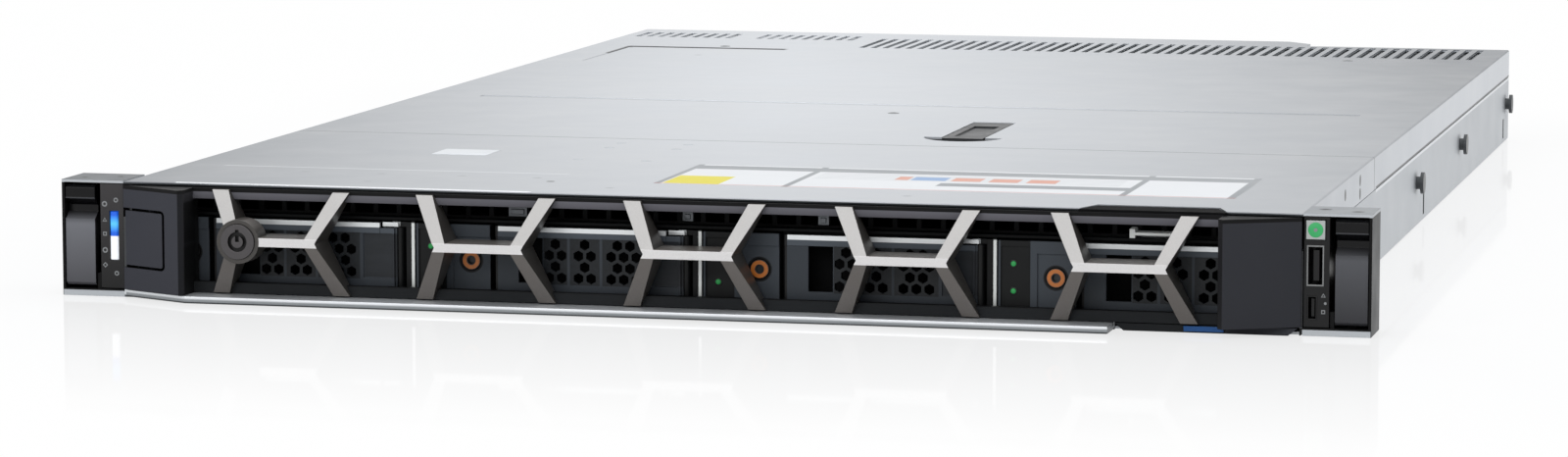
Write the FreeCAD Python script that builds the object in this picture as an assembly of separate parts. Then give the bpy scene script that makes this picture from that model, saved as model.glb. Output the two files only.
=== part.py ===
import FreeCAD, Part
import math
import os

# A 1U rack server with its lockable front bezel, in millimetres.
# X runs to the right seen from the front, Y to the back and Z up.
# The origin lies on the underside, midway between the ears, in the plane where the ears meet the rack posts.

V = FreeCAD.Vector
OUT = "parts"

# Overall sizes
height = 42.8
cover_step = 0.25
front_reach = 22.0
bezel_reach = 35.84
handle_length = 34.15
ear_overhang = 24.0
sheet = 1.0
fit = 0.3
sheet_bend = 0.8

# Drives, bays and carriers
bay_count = 4
drive_width = 101.6
drive_length = 147.0
drive_height = 26.1
drive_floor = 3.0
lid_height = 1.2
lid_border = 3.0
lid_corner = 12.0
drive_front = -8.0
rail_thickness = 1.7
bay_gap = 0.6
divider = 1.2
face_y = -17.5
shelf_lift = 1.3
plug_gap = 4.4
backplane_thickness = 1.6
plug_reach = 4.0
plug_width = 42.0
plug_height = 5.0
plug_inset = 6.0
air_low = 6.0
air_border = 4.0
power_plug_width = 22.0
power_plug_height = 7.0
power_plug_reach = 9.0

bay_pitch = drive_width + 2 * rail_thickness + 2 * bay_gap + divider
side_room = 2.2
half = (bay_count * bay_pitch + 2 * side_room) / 2
ear_half = half + ear_overhang
drive_top = drive_floor + drive_height
drive_rear = drive_front + drive_length
shelf_z = drive_top + shelf_lift
front_y = -front_reach

# Drive cage: the shelf over the drives, its pierced air strip and the bezel's hook
shelf_setback = 2.0
strip_setback = 8.0
strip_border = 0.8
strip_pitch = 8.8
strip_bar = 1.8
hook_offset = 4.0
hook_width = 18.0
hook_lift = 1.2

# Carriers, their levers and release buttons: starts are measured from the divider at a bay's left
# side, insets from the next divider
block_width = 29.0
frame_border = 5.0
frame_rail = 3.6
frame_lip = 2.0
lights_width = 12.6
recess = 0.6
step_start = 15.2
step_drop = 4.4
rail_lift = 1.5
rail_drop = 4.0
rail_end = 6.0
post_setback = 2.0
post_inset = 3.2
lever_left = 31.2
lever_inset = 7.2
lever_lift = 0.5
lever_gap = 0.7
lever_thick = 4.4
lever_plate = 2.0
lever_cap = 3.4
lever_grip = 3.0
lever_room = 2.6
pin_inset = 6.4
lever_eye = 2.2
cap_height = 1.9
cap_inset = 12.6
arm_thickness = 1.8
link_width = 5.5
hole_start = 39.8
hole_end = 48.8
mesh_start = 49.4
mesh_border_low = 5.8
mesh_border_high = 4.0
panel_shares = (8.3, 10.5, 15.4)
panel_bar = 1.6
label_inset = 8.0
label_width = 11.0
cell_flat = 3.5
cell_pitch = 4.7
eject_x = 21.8
eject_z = 16.8
eject_radius = 3.5
eject_bore = 1.3
eject_depth = 5.5
eject_travel = 1.5
post_start = bay_pitch - post_inset
lever_right = bay_pitch - lever_inset
lever_pin_x = bay_pitch - pin_inset
cap_end = bay_pitch - cap_inset
label_end = bay_pitch - label_inset
mesh_room = label_end - label_width - mesh_start - len(panel_shares) * panel_bar

# Covers, walls and the seam between the fixed and the sliding cover
flange_drop = 12.7
seam_margin = 26.6
seam_gap = 0.4
wall_setback = 3.0
pocket_depth = 0.4
pocket_width = 3.2
pocket_low = 2.5
pocket_high = 11.5
pocket_offset = 48.0
pocket_margin = 22.8
hood_reach = 24.0
hood_end = 120.0
hood_corner = 12.0
cover_top = height - cover_step
cover_z = cover_top - sheet
wall_top = cover_z - fit
ledge_z = cover_top - flange_drop - fit
upper_outer = half - sheet - fit
upper_inner = upper_outer - sheet
backplane_y = drive_rear + plug_gap
seam_y = backplane_y + backplane_thickness + seam_margin
cover_y = seam_y + seam_gap

# Notch for the bezel's tab in the front edge of the fixed cover
notch_inset = 74.0
notch_width = 43.0
notch_depth = 12.0
notch_slope = 5.0
tab_drop = 0.2
notch_left = half - notch_inset

# Front lip and the frame of the bezel
lip_height = 2.7
opening_low = lip_height + fit
opening_high = cover_z - fit
rail_height = 3.9
rail_back = front_y + 1.0
rail_front = front_y - 2.2
pad_width = 27.5
pad_wall = 2.0
pad_edge = 1.8
pad_edge_step = 1.0

# Honeycomb bars of the bezel
unit_count = 5
unit_pitch = 77.5
unit_top_half = 26.3
unit_bar = 6.3
unit_waist = 16.2
waist_bar = 3.9
ridge_height = 3.2
ridge_centre = 23.3
bar_foot = 1.6

# Bezel lock and release button
lock_x = -168.0
lock_radius = 6.4
lock_collar = 1.6
lock_depth = 9.0
lock_proud = 0.6
lock_shoulder = 1.5
lock_core = 2.2
lock_ring = 3.6
lock_ring_depth = 1.4
key_width = 1.4
key_reach = 4.4
button_margin = 18.4
release_gap = 1.0
release_height = 20.0
release_travel = 1.5
release_plate = 2.4
release_stem = 3.0
release_corner = 0.8

# Ears and their panels
grip_width = 11.4
grip_gap = 2.4
panel_recess = 0.6
panel_depth = 14.0
ear_wall = 1.0
flange_thickness = 1.5
foot_low = 12.0
foot_high = 30.0
latch_thickness = 6.0
grip_lift = 1.2
grip_wall = 1.5
scoop_setback = 10.0
scoop_slope = 2.5
scoop_depth = 3.6
scoop_height = 2.4
scoop_lip = 5.2
latch_corner = 1.0
rack_hole_spacing = 465.1
rack_hole_radius = 3.2
pin_radius = 1.2
pin_play = 0.1

# Buttons and connectors in the panels
button_depth = 6.0
id_inset = 3.7
id_z = 22.4
id_width = 3.0
id_height = 17.6
id_proud = 0.2
id_chamfer = 0.5
id_travel = 0.8
power_inset = 4.0
power_z = 37.0
power_size = 6.6
power_travel = 1.0
lens_radius = 2.3
lens_depth = 0.2
usb_z = 24.5
usb_width = 6.0
usb_height = 14.2
usb_shell = 0.5
micro_inset = 1.0
micro_z = 9.8
micro_width = 3.4
micro_height = 8.4
micro_shell = 0.4
shell_proud = 0.2

# Information tag under the bezel
tag_left = 151.0
tag_width = 14.0
tag_thickness = 0.8
tag_length = 62.0
tag_offset = 25.0
tag_reach = 2.6
tag_bevel = 3.6
tag_play = 0.2
tag_grip = 1.8
holder_lift = 0.1
holder_wall = 2.0
holder_roof = 0.6
guide_share = 0.6

# Latch on the sliding cover
latch_x = 49.0
latch_setback = 20.0
latch_length = 62.0
latch_width = 18.0
latch_well = 5.2
latch_wall = 1.6
scoop_radius = 16.0
lever_thickness = 2.2
lever_sink = 0.1
lever_frame = 3.0
latch_floor = 1.2
latch_eye = 2.0
pin_margin = 3.0
heel_reach = 1.5
pocket_inset = 12.0
latch_front = cover_y + latch_setback + scoop_radius
latch_rear = latch_front + latch_length

# Vents and creases in the sliding cover
vent_pitch = 5.7
vent_width = 3.0
vent_length = 54.0
vent_margin = 6.0
vent_left = -88.0
small_vent_length = 26.0
small_vent_count = 9
small_vent_margin = 18.0
crease_depth = 0.2
crease_width = 6.0
crease_inset = 27.0
crease_offset = 48.0
corner_inset = 20.0
corner_setback = 76.0
corner_length = 77.0
corner_reach = 85.0

# Fans
fan_count = 6
fan_clearance = 17.0
fan_length = 56.0
fan_wall = 1.6
fan_play = 0.9
fan_margin = 3.0
fan_blades = 5
blade_thickness = 1.1
blade_angle = 36.0
hub_radius = 8.0
hub_sides = 10
shaft_radius = 1.6
rotor_inset = 9.0
rotor_length = 20.8
shaft_inset = 3.0
spider_depth = 12.0
spider_sides = 8
arm_setback = 2.0
arm_width = 2.4
arm_depth = 3.0
fan_plug_width = 9.0
fan_plug_reach = 5.0
fan_plug_height = 7.0
fan_y = latch_rear + fan_clearance

# System board, processors and memory
board_gap = 6.0
board_lift = 5.0
board_thickness = 1.6
board_margin = 4.0
board_post = 3.0
post_inset = 12.0
socket_width = 76.0
socket_length = 84.0
socket_height = 3.4
sink_width = 92.0
sink_length = 104.0
sink_base = 6.0
sink_offset = 100.0
fin_pitch = 4.6
fin_thickness = 0.9
headroom = 5.0
dimm_length = 133.0
dimm_pitch = 8.0
dimm_per_bank = 4
dimm_thickness = 3.4
dimm_board = 1.4
dimm_socket = 6.0
dimm_socket_height = 9.0
dimm_latch = 3.5
dimm_margin = 2.4
dimm_bank_gap = 1.5
shroud_thickness = 1.4
shroud_gap = 0.6
shroud_leg = 1.6
shroud_inset = 4.0
duct_slot_count = 3
duct_slot_length = 60.0
duct_slot_width = 3.0
duct_slot_pitch = 7.0
chip_size = 30.0
chip_inset = 10.0
chip_height = 7.0
riser_thickness = 1.6
riser_length = 71.0
riser_inset = 52.0
riser_lap = 2.0
riser_gap = 3.0
riser_socket_width = 8.0
riser_socket_height = 7.0

# Power supplies
psu_width = 60.0
psu_height = 39.6
psu_length = 184.0
psu_gap = 1.2
psu_count = 2
psu_fan_radius = 15.0
psu_fan_depth = 26.0
psu_hub_radius = 6.5
psu_lip = 1.0
shaft_end = 6.0
grille_count = 4
grille_pitch = 6.0
grille_bar = 1.4
edge_inset = 8.0
edge_reach = 3.0
edge_lift = 6.0
inlet_width = 22.0
inlet_height = 16.5
inlet_depth = 17.0
inlet_wall = 1.6
inlet_lift = 3.0
pin_setback = 6.0
mains_pins = ((0.25, 0.2), (0.5, 0.55), (0.75, 0.2))
mains_pin_width = 2.0
mains_pin_height = 4.0
psu_latch_height = 11.0
psu_latch_thickness = 3.6
psu_latch_inset = 4.8
psu_latch_margin = 4.0
latch_standoff = 2.6
lug_thickness = 1.2
crank_start = 5.0
crank_end = 20.0
crank_offset = 2.9
loop_width = 26.0
loop_bar = 4.0
loop_thickness = 3.0
loop_corner = 6.0
loop_shoulder = 0.6

# Rear openings
rear_margin = 5.0
slot_height = 17.0
slot_width = 84.0
slot_low = 21.5
slot_inset = 4.0
blank_proud = 0.6
blank_pitch = 6.5
blank_hole = 3.5
blank_border = 3.7
port_low = board_lift + board_thickness
ports_margin = 14.0
port_gap = 4.0
network_width = 16.0
network_height = 13.5
rear_usb_width = 14.5
rear_usb_height = 7.0
display_width = 31.0
display_height = 11.0
tongue_drop = 1.8
tongue_thickness = 1.4
port_depth = 20.0
port_wall = 1.0
port_proud = 0.8
plug_depth = 12.0
ocp_width = slot_width - 2 * slot_inset
ocp_height = 13.0
ocp_length = 100.0
cage_inset = 12.0
cage_width = 16.0
cage_height = 11.0
cage_depth = 47.0

# Depths from the drives to the back, each zone behind the one before
board_y = fan_y + fan_length + board_gap
processor_zone = dimm_length + 2 * (dimm_latch + dimm_margin)
psu_y = board_y + processor_zone
riser_y = psu_y + riser_inset
body_depth = psu_y + psu_length
psu_face = body_depth + psu_lip
handle_reach = psu_face + handle_length

# Side studs that hook into the sliding rails
rear_stud_margin = 12.8
stud_places = (60.0, 310.0, 470.0, body_depth - rear_stud_margin)
stud_z = 18.0
stud_radius = 2.6
stud_head = 4.4
stud_reach = 3.2
stud_head_thickness = 1.4


def box(x0, x1, y0, y1, z0, z1):
    return Part.makeBox(x1 - x0, y1 - y0, z1 - z0, V(x0, y0, z0))


def polygon(points):
    return Part.Face(Part.makePolygon([*points, points[0]]))


def slab_y(points, y0, y1):
    """A front-view outline of (x, z) points, given depth from y0 to y1."""
    return polygon([V(x, y0, z) for x, z in points]).extrude(V(0, y1 - y0, 0))


def slab_x(points, x0, x1):
    """A side-view outline of (y, z) points, given width from x0 to x1."""
    return polygon([V(x0, y, z) for y, z in points]).extrude(V(x1 - x0, 0, 0))


def slab_z(points, z0, z1):
    """A top-view outline of (x, y) points, given height from z0 to z1."""
    return polygon([V(x, y, z0) for x, y in points]).extrude(V(0, 0, z1 - z0))


def rod_y(x, z, radius, y0, y1):
    return Part.makeCylinder(radius, y1 - y0, V(x, y0, z), V(0, 1, 0))


def rod_z(x, y, radius, z0, z1):
    return Part.makeCylinder(radius, z1 - z0, V(x, y, z0), V(0, 0, 1))


def rod_x(y, z, radius, x0, x1):
    return Part.makeCylinder(radius, x1 - x0, V(x0, y, z), V(1, 0, 0))


def join(shapes):
    return shapes[0].fuse(shapes[1:]).removeSplitter() if len(shapes) > 1 else shapes[0]


def mirror(shape):
    return shape.mirror(V(0, 0, 0), V(1, 0, 0))


def save(name, *shapes):
    shape = shapes[0] if len(shapes) == 1 else Part.makeCompound(list(shapes))
    shape.exportStep(os.path.join(OUT, name + ".step"))


def ring_points(x, z, radius, sides):
    """Corners of a regular outline that stands on a point."""
    angles = [math.pi / 2 + 2 * math.pi * k / sides for k in range(sides)]
    return [(x + radius * math.cos(a), z + radius * math.sin(a)) for a in angles]


# Places along the width at the back
psu_left = -upper_inner
psu_inner = psu_left + psu_count * psu_width + (psu_count - 1) * psu_gap
psu_low = sheet + fit
board_right = half - sheet - board_margin
board_left = -board_right
board_top = board_lift + board_thickness
board_rear = body_depth - 2 * sheet
board_front_end = psu_y - sheet
board_mid = board_y + processor_zone / 2 - sheet
rear_left = psu_inner + rear_margin
rear_right = upper_inner - slot_inset
slot_xs = [rear_left + sheet, rear_right - slot_width - slot_inset]
ocp_x = slot_xs[0] + slot_inset - sheet
ports_x = ocp_x + ocp_width + ports_margin


def bay_left(bay):
    """The centre of the divider at a bay's left side."""
    return -half + side_room + bay * bay_pitch


def bay_inside(bay):
    """The left side of the carrier in a bay."""
    return bay_left(bay) + divider / 2 + bay_gap


# Sheet-metal tray


def outer_bends(shape, z):
    """The long edges at both sides of a folded sheet, at height z."""
    return [
        e
        for e in shape.Edges
        if abs(abs(e.CenterOfMass.x) - half) < 0.01 and abs(e.CenterOfMass.z - z) < 0.01
    ]


def tray_section():
    """The tray's cross-section: a floor and two walls, stepped in under the covers' flanges."""
    right = [
        (half, 0),
        (half, ledge_z),
        (upper_outer, ledge_z),
        (upper_outer, wall_top),
        (upper_inner, wall_top),
        (upper_inner, ledge_z - sheet),
        (half - sheet, ledge_z - sheet),
        (half - sheet, sheet),
    ]
    return right + [(-x, z) for x, z in reversed(right)]


def psu_places():
    return [psu_left + k * (psu_width + psu_gap) for k in range(psu_count)]


def rear_cutouts():
    """The holes in the rear wall for supplies, slots, the network card and the ports."""
    y0 = body_depth - 2 * sheet
    y1 = body_depth + sheet
    cuts = [box(x, x + psu_width, y0, y1, sheet, wall_top + sheet) for x in psu_places()]
    cuts += [box(x, x + slot_width, y0, y1, slot_low, slot_low + slot_height) for x in slot_xs]
    cuts.append(box(ocp_x, ocp_x + ocp_width, y0, y1, port_low, port_low + ocp_height))
    for x, width, tall in port_sizes():
        cuts.append(box(x - fit, x + width + fit, y0, y1, port_low, port_low + tall + fit))
    return cuts


def board_posts():
    """Six-sided posts pressed into the floor, on which the system board stands."""
    xs = [board_left + post_inset, 0, board_right - post_inset]
    ys = [board_y + post_inset, board_front_end - post_inset]
    places = [(x, y) for x in xs for y in ys]
    places += [(x, board_rear - post_inset) for x in (rear_left + post_inset, board_right - post_inset)]
    return [slab_z(ring_points(x, y, board_post, 6), sheet / 2, board_lift) for x, y in places]


def side_pockets():
    """Upright slots in both walls, sunk for the heads of the screws that hold the dividers inside."""
    cuts = []
    for side in (-1, 1):
        for y in (fan_y + pocket_offset, body_depth - pocket_margin):
            x0, x1 = sorted((side * (half - pocket_depth), side * (half + sheet)))
            cuts.append(box(x0, x1, y - pocket_width / 2, y + pocket_width / 2, pocket_low, pocket_high))
    return cuts


def chassis_tray():
    tray = slab_y(tray_section(), front_y, body_depth)
    tray = tray.makeFillet(sheet_bend, outer_bends(tray, 0))
    lip = box(-half, tag_left, front_y, front_y + sheet, 0, lip_height)
    rear_wall = box(-upper_inner, upper_inner, body_depth - sheet, body_depth, sheet / 2, wall_top)
    rear_wall = rear_wall.cut(rear_cutouts())
    tray = join([tray, lip, rear_wall, *board_posts()])
    # The floor gives way to the tag holder at the front right, and the upper walls start further back.
    inside = half - sheet
    tag_notch = box(tag_left, inside, front_y - sheet, front_y + tag_reach, -sheet, lip_height + sheet)
    setback = box(
        -inside, inside, front_y - sheet, front_y + wall_setback, ledge_z - sheet, wall_top + sheet
    )
    return tray.cut([tag_notch, setback, *side_pockets()])


def rail_studs():
    """Shouldered studs riveted to both walls; the rails' J-slots hook under their heads."""
    studs = []
    end = half + stud_reach
    for y in stud_places:
        shank = rod_x(y, stud_z, stud_radius, half, end)
        head = rod_x(y, stud_z, stud_head, end - stud_head_thickness, end)
        stud = join([shank, head])
        studs += [stud, mirror(stud)]
    return studs


# Covers


def folded_cover(y0, y1, flange_y0):
    """A flat cover with a flange down each side; the flanges hang outside the tray's upper walls."""
    low = cover_top - flange_drop
    section = [
        (-half, low),
        (-half, cover_top),
        (half, cover_top),
        (half, low),
        (half - sheet, low),
        (half - sheet, cover_z),
        (-half + sheet, cover_z),
        (-half + sheet, low),
    ]
    cover = slab_y(section, y0, y1)
    cover = cover.makeFillet(sheet_bend, outer_bends(cover, cover_top))
    if flange_y0 > y0:
        for side in (-1, 1):
            x0, x1 = sorted((side * (half + sheet), side * (half - 2 * sheet)))
            cover = cover.cut(box(x0, x1, y0 - sheet, flange_y0, low - sheet, cover_z))
    return cover


def notch_outline(play):
    """The bevelled notch in the top's front edge that the bezel's tab fills."""
    x0 = notch_left + play
    x1 = notch_left + notch_width - play
    back = front_y + notch_depth - play
    front = front_y - 2 * sheet
    return [(x0 - notch_slope, front), (x0, back), (x1, back), (x1 + notch_slope, front)]


def drive_bay_cover():
    cover = folded_cover(front_y, seam_y, 0.0)
    return cover.cut(slab_z(notch_outline(0), cover_z - sheet, cover_top + sheet))


def slot_row(x0, count, y0, y1):
    z0, z1 = cover_z - sheet, cover_top + sheet
    lefts = [x0 + k * vent_pitch for k in range(count)]
    return [box(x, x + vent_width, y0, y1, z0, z1) for x in lefts]


def latch_well_outline(grow):
    """The latch's opening from above: a lever-wide slot that ends in a half-round finger scoop."""
    side = latch_width / 2 + grow
    radius = scoop_radius + grow
    rear = latch_rear + latch_wall + grow
    left = [V(latch_x - side, latch_front, 0), V(latch_x - side, rear, 0)]
    right = [V(latch_x + side, rear, 0), V(latch_x + side, latch_front, 0)]
    end_left = V(latch_x - radius, latch_front, 0)
    end_right = V(latch_x + radius, latch_front, 0)
    arc = Part.Arc(end_left, V(latch_x, latch_front - radius, 0), end_right).toShape()
    lines = [end_right, right[1], right[0], left[1], left[0], end_left]
    edges = [Part.LineSegment(a, b).toShape() for a, b in zip(lines, lines[1:])]
    return Part.Face(Part.Wire([arc, *edges]))


def latch_well_solid(grow, z0, z1):
    return latch_well_outline(grow).translated(V(0, 0, z0)).extrude(V(0, 0, z1 - z0))


def rear_hood():
    """The cover's sheet where it reaches out over the power supplies and cards behind the rear wall."""
    rear = body_depth + hood_reach
    outline = [
        (-half + sheet, body_depth - sheet),
        (-half + sheet, rear),
        (hood_end - hood_corner, rear),
        (hood_end, rear - hood_corner),
        (hood_end, body_depth - sheet),
    ]
    return slab_z(outline, cover_z, cover_top)


def creases():
    """Shallow grooves that stiffen the sheet: one across it and a corner at the back left."""
    low, high = cover_top - crease_depth, cover_top + sheet
    wide = half - crease_inset
    y = fan_y + crease_offset
    across = box(-wide, wide, y - crease_width / 2, y + crease_width / 2, low, high)
    corner_x = -half + corner_inset
    corner_y = body_depth - corner_setback
    long_arm = box(corner_x, corner_x + corner_length, corner_y - crease_width, corner_y, low, high)
    short_arm = box(corner_x, corner_x + crease_width / 2, corner_y - corner_reach, corner_y, low, high)
    return [across, long_arm, short_arm]


def top_cover():
    cover = join([folded_cover(cover_y, body_depth, cover_y), rear_hood()])
    rear = body_depth - vent_margin
    count = int((upper_inner - vent_margin - vent_left) / vent_pitch)
    cuts = slot_row(vent_left, count, rear - vent_length, rear)
    small_rear = body_depth + hood_reach - small_vent_margin
    for x in psu_places():
        inset = (psu_width - small_vent_count * vent_pitch) / 2
        cuts += slot_row(x + inset, small_vent_count, small_rear - small_vent_length, small_rear)
    cuts.append(latch_well_solid(-fit, cover_z - sheet, cover_top + sheet))
    return cover.cut(cuts + creases())


latch_pin_y = latch_rear - pin_margin
latch_pin_z = cover_z - latch_well + latch_floor + latch_eye + fit


def cover_latch_base():
    """The moulded well that hangs in the cover's opening and carries the lever's pin."""
    floor = cover_z - latch_well
    tub = latch_well_solid(latch_wall, floor, cover_z)
    inside = latch_well_solid(-fit, floor + latch_floor, cover_z + sheet)
    reach = (latch_width + latch_wall) / 2
    pin = rod_x(latch_pin_y, latch_pin_z, pin_radius, latch_x - reach, latch_x + reach)
    return join([tub.cut(inside), pin])


def cover_latch_lever():
    """The lever: a plate whose front end lifts, an eye round the pin and a stiffening frame on top."""
    side = latch_width / 2 - 3 * fit
    x0, x1 = latch_x - side, latch_x + side
    top = cover_top - lever_sink
    front = latch_front - lever_frame
    heel = latch_pin_y + heel_reach
    plate = box(x0, x1, front, heel, top - lever_thickness, top)
    pocket = box(
        x0 + lever_frame,
        x1 - lever_frame,
        front + 3 * lever_frame,
        latch_pin_y - pocket_inset,
        top - lever_thickness / 3,
        top + sheet,
    )
    eye = rod_x(latch_pin_y, latch_pin_z, latch_eye, x0, x1)
    neck = box(x0, x1, latch_pin_y - heel_reach, heel, latch_pin_z, top - lever_thickness / 2)
    hole = rod_x(latch_pin_y, latch_pin_z, pin_radius + pin_play, x0 - sheet, x1 + sheet)
    return join([plate.cut(pocket), eye, neck]).cut(hole)


# Ears and the control panels in them

panel_in = half + fit
panel_out = ear_half - ear_wall - grip_width - grip_gap
grip_low = lip_height + grip_lift
grip_front = front_y + fit
latch_pivot_y = grip_front + latch_thickness / 2
latch_pivot_z = grip_low + (latch_thickness - latch_corner) / 2
latch_left = -ear_half + ear_wall + fit
latch_right = latch_left + grip_width


def ear_left():
    """A folded ear: the flange that meets the rack post, a floor and roof, and an outer wall."""
    x0, x1 = -ear_half, -half
    flange = box(x0, x1, -flange_thickness, 0, 0, height)
    roof = box(x0, x1, front_y, 0, height - ear_wall, height)
    floor = box(x0, x1, front_y, 0, lip_height - 2 * ear_wall, lip_height)
    lip = box(x0, x1, front_y, front_y + 2 * ear_wall, 0, lip_height)
    wall = box(x0, x0 + ear_wall, front_y, 0, 0, height)
    # The latch's pin crosses from the outer wall to a lug on the floor.
    lug_x = latch_right + fit
    reach = latch_eye
    lug = box(
        lug_x,
        -panel_out - fit,
        latch_pivot_y - reach,
        latch_pivot_y + reach,
        lip_height / 2,
        latch_pivot_z + reach,
    )
    pin = rod_x(latch_pivot_y, latch_pivot_z, pin_radius, x0 + ear_wall / 2, lug_x + fit)
    ear = join([flange, roof, floor, lip, wall, lug, pin])
    hole_x = -rack_hole_spacing / 2
    return ear.cut(rod_y(hole_x, height / 2, rack_hole_radius, -2 * flange_thickness, ear_wall))


def ear_latch_left():
    """The latch: a grip with a finger scoop near its top, hinged on the ear's pin at its foot."""
    high = height - 2 * ear_wall
    back = grip_front + latch_thickness
    scoop_low = high - scoop_setback
    scoop_y = grip_front + scoop_depth
    profile = [
        (grip_front + latch_corner, grip_low),
        (grip_front, grip_low + latch_corner),
        (grip_front, scoop_low - scoop_slope),
        (scoop_y, scoop_low),
        (scoop_y, scoop_low + scoop_height),
        (grip_front, scoop_low + scoop_lip),
        (grip_front, high - latch_corner),
        (grip_front + latch_corner, high),
        (back, high),
        (back, grip_low + latch_corner),
        (back - latch_corner, grip_low),
    ]
    grip = slab_x(profile, latch_left, latch_right)
    hollow = box(
        latch_left + grip_wall,
        latch_right - grip_wall,
        back - grip_wall,
        back + sheet,
        latch_pivot_z + 2 * latch_eye,
        high - grip_wall,
    )
    hole = rod_x(
        latch_pivot_y, latch_pivot_z, pin_radius + pin_play, latch_left - sheet, latch_right + sheet
    )
    return grip.cut([hollow, hole])


panel_front = front_y + panel_recess
panel_back = panel_front + panel_depth
panel_low = lip_height + fit
panel_high = height - ear_wall - fit
id_x = -(panel_in + id_inset)
power_x = panel_in + power_inset


def centred(x, z, width, tall, y0, y1):
    """A block centred on (x, z), seen from the front."""
    return box(x - width / 2, x + width / 2, y0, y1, z - tall / 2, z + tall / 2)


def panel_block(x0, x1):
    """A panel's body with the foot that rests against the ear's flange."""
    body = box(x0, x1, panel_front, panel_back, panel_low, panel_high)
    foot = box(x0, x1, panel_back - fit, -flange_thickness, foot_low, foot_high)
    return join([body, foot])


def control_panel_left():
    """The status strip, with a slot for the identification button."""
    y0, y1 = panel_front - sheet, panel_front + button_depth
    slot = centred(id_x, id_z, id_width + 2 * fit, id_height + 2 * fit, y0, y1)
    return panel_block(-panel_out, -panel_in).cut(slot)


def id_button():
    y0 = panel_front - id_proud
    y1 = panel_front + button_depth - id_travel - fit
    plate = centred(id_x, id_z, id_width, id_height, y0, y1)
    upright = [e for e in plate.Edges if e.BoundBox.YMax < panel_front and e.BoundBox.ZLength > fit]
    return plate.makeChamfer(id_chamfer, upright)


def front_port_sizes():
    """Each front connector's centre, width, height and shell thickness, from the top down."""
    large = (power_x, usb_z, usb_width, usb_height, usb_shell)
    small = (power_x - micro_inset, micro_z, micro_width, micro_height, micro_shell)
    return [large, small]


def control_panel_right():
    y0 = panel_front - sheet
    reach = power_size + 2 * fit
    cuts = [centred(power_x, power_z, reach, reach, y0, panel_front + button_depth)]
    for x, z, width, tall, _ in front_port_sizes():
        cuts.append(centred(x, z, width, tall, y0, panel_back + sheet))
    return panel_block(panel_in, panel_out).cut(cuts)


def power_button():
    """A square cap with a round groove for the lens."""
    y0 = panel_front - fit
    y1 = panel_front + button_depth - power_travel - fit
    cap = centred(power_x, power_z, power_size, power_size, y0, y1)
    lens_seat = rod_y(power_x, power_z, lens_radius, y0 - sheet, y0 + lens_depth)
    return cap.cut(lens_seat)


def front_ports():
    """The two front connectors: metal shells, each round its own tongue."""
    back = panel_back - 2 * fit
    shells = []
    for x, z, width, tall, wall in front_port_sizes():
        outer = centred(x, z, width, tall, panel_front - shell_proud, back)
        inner = centred(x, z, width - 2 * wall, tall - 2 * wall, panel_front - sheet, back - 2 * sheet)
        tongue = centred(x + wall / 2, z, width / 3, tall * 3 / 4, panel_front + sheet, back - sheet)
        shells.append(join([outer.cut(inner), tongue]))
    return shells


def holder_outline(low):
    """The tag holder from the front: a long bar with bevelled lower corners."""
    x0, x1 = tag_left, half - sheet
    return [
        (x0 + fit, lip_height),
        (x0 + tag_bevel, low),
        (x1 - tag_bevel, low),
        (x1 - fit, lip_height),
    ]


tag_x = tag_left + tag_offset
tag_low = sheet + tag_play
tag_y = rail_front


def info_tag_holder():
    """A flat guide on the floor whose front bar shows below the bezel; the tag slides through it."""
    y1 = front_y + tag_reach - fit
    bar = slab_y(holder_outline(holder_lift), rail_front, y1)
    x0, x1 = tag_x - holder_wall, tag_x + tag_width + holder_wall
    roof = tag_low + tag_thickness + holder_roof
    guide = box(x0, x1, y1 - tag_play, y1 + tag_length * guide_share, sheet, roof)
    way = box(
        tag_x - fit,
        tag_x + tag_width + fit,
        rail_front - sheet,
        y1 + tag_length,
        sheet + tag_play / 2,
        tag_low + tag_thickness + tag_play / 2,
    )
    return join([bar, guide]).cut(way)


def info_tag():
    """The pull-out tag, with a finger edge at its front."""
    x0, x1 = tag_x, tag_x + tag_width
    high = tag_low + tag_thickness
    card = box(x0, x1, tag_y - 2 * tag_play, tag_y + tag_length, tag_low, high)
    grip_z = (tag_low + high) / 2
    grip_y = tag_y - tag_play
    grip = box(x0, x1, grip_y - sheet, grip_y, grip_z - tag_grip / 2, grip_z + tag_grip / 2)
    return join([card, grip])


# Bezel


def ramp_y(x):
    """The depth of the left pad's sloping front at x."""
    outer_x = -(half - fit)
    outer_y = front_y - pad_edge_step
    inner_x = outer_x + pad_width - pad_edge
    return outer_y + (x - outer_x) * (-bezel_reach - outer_y) / (inner_x - outer_x)


def pad_outline(inset):
    """The left pad from above, moved in by inset."""
    x0 = -(half - fit)
    x_edge = x0 + pad_width - pad_edge
    x1 = x0 + pad_width - inset
    back = front_y - fit + (sheet if inset else 0)
    return [
        (x0 + inset, back),
        (x0 + inset, ramp_y(x0) + inset),
        (x_edge - inset / 4, -bezel_reach + inset),
        (x1, -bezel_reach + pad_edge + inset),
        (x1, back),
    ]


def left_pad():
    pad = slab_z(pad_outline(0), opening_low, opening_high)
    hollow = slab_z(pad_outline(pad_wall), opening_low + pad_wall, opening_high - pad_wall)
    return pad.cut(hollow)


release_low = (opening_low + opening_high - release_height) / 2
release_left = -(half - sheet - fit)
release_right = -(half - fit) + button_margin
stem_right = release_right - release_stem
stem_left = stem_right - release_stem


def rounded_right(x0, x1, z0, z1, y0, y1, radius):
    """A block whose two right-hand corners are rounded, seen from the front."""
    block = box(x0, x1, y0, y1, z0, z1)
    corners = [
        e
        for e in block.Edges
        if e.BoundBox.YLength > 0.9 * (y1 - y0) and e.CenterOfMass.x > (x0 + x1) / 2
    ]
    return block.makeFillet(radius, corners)


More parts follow.
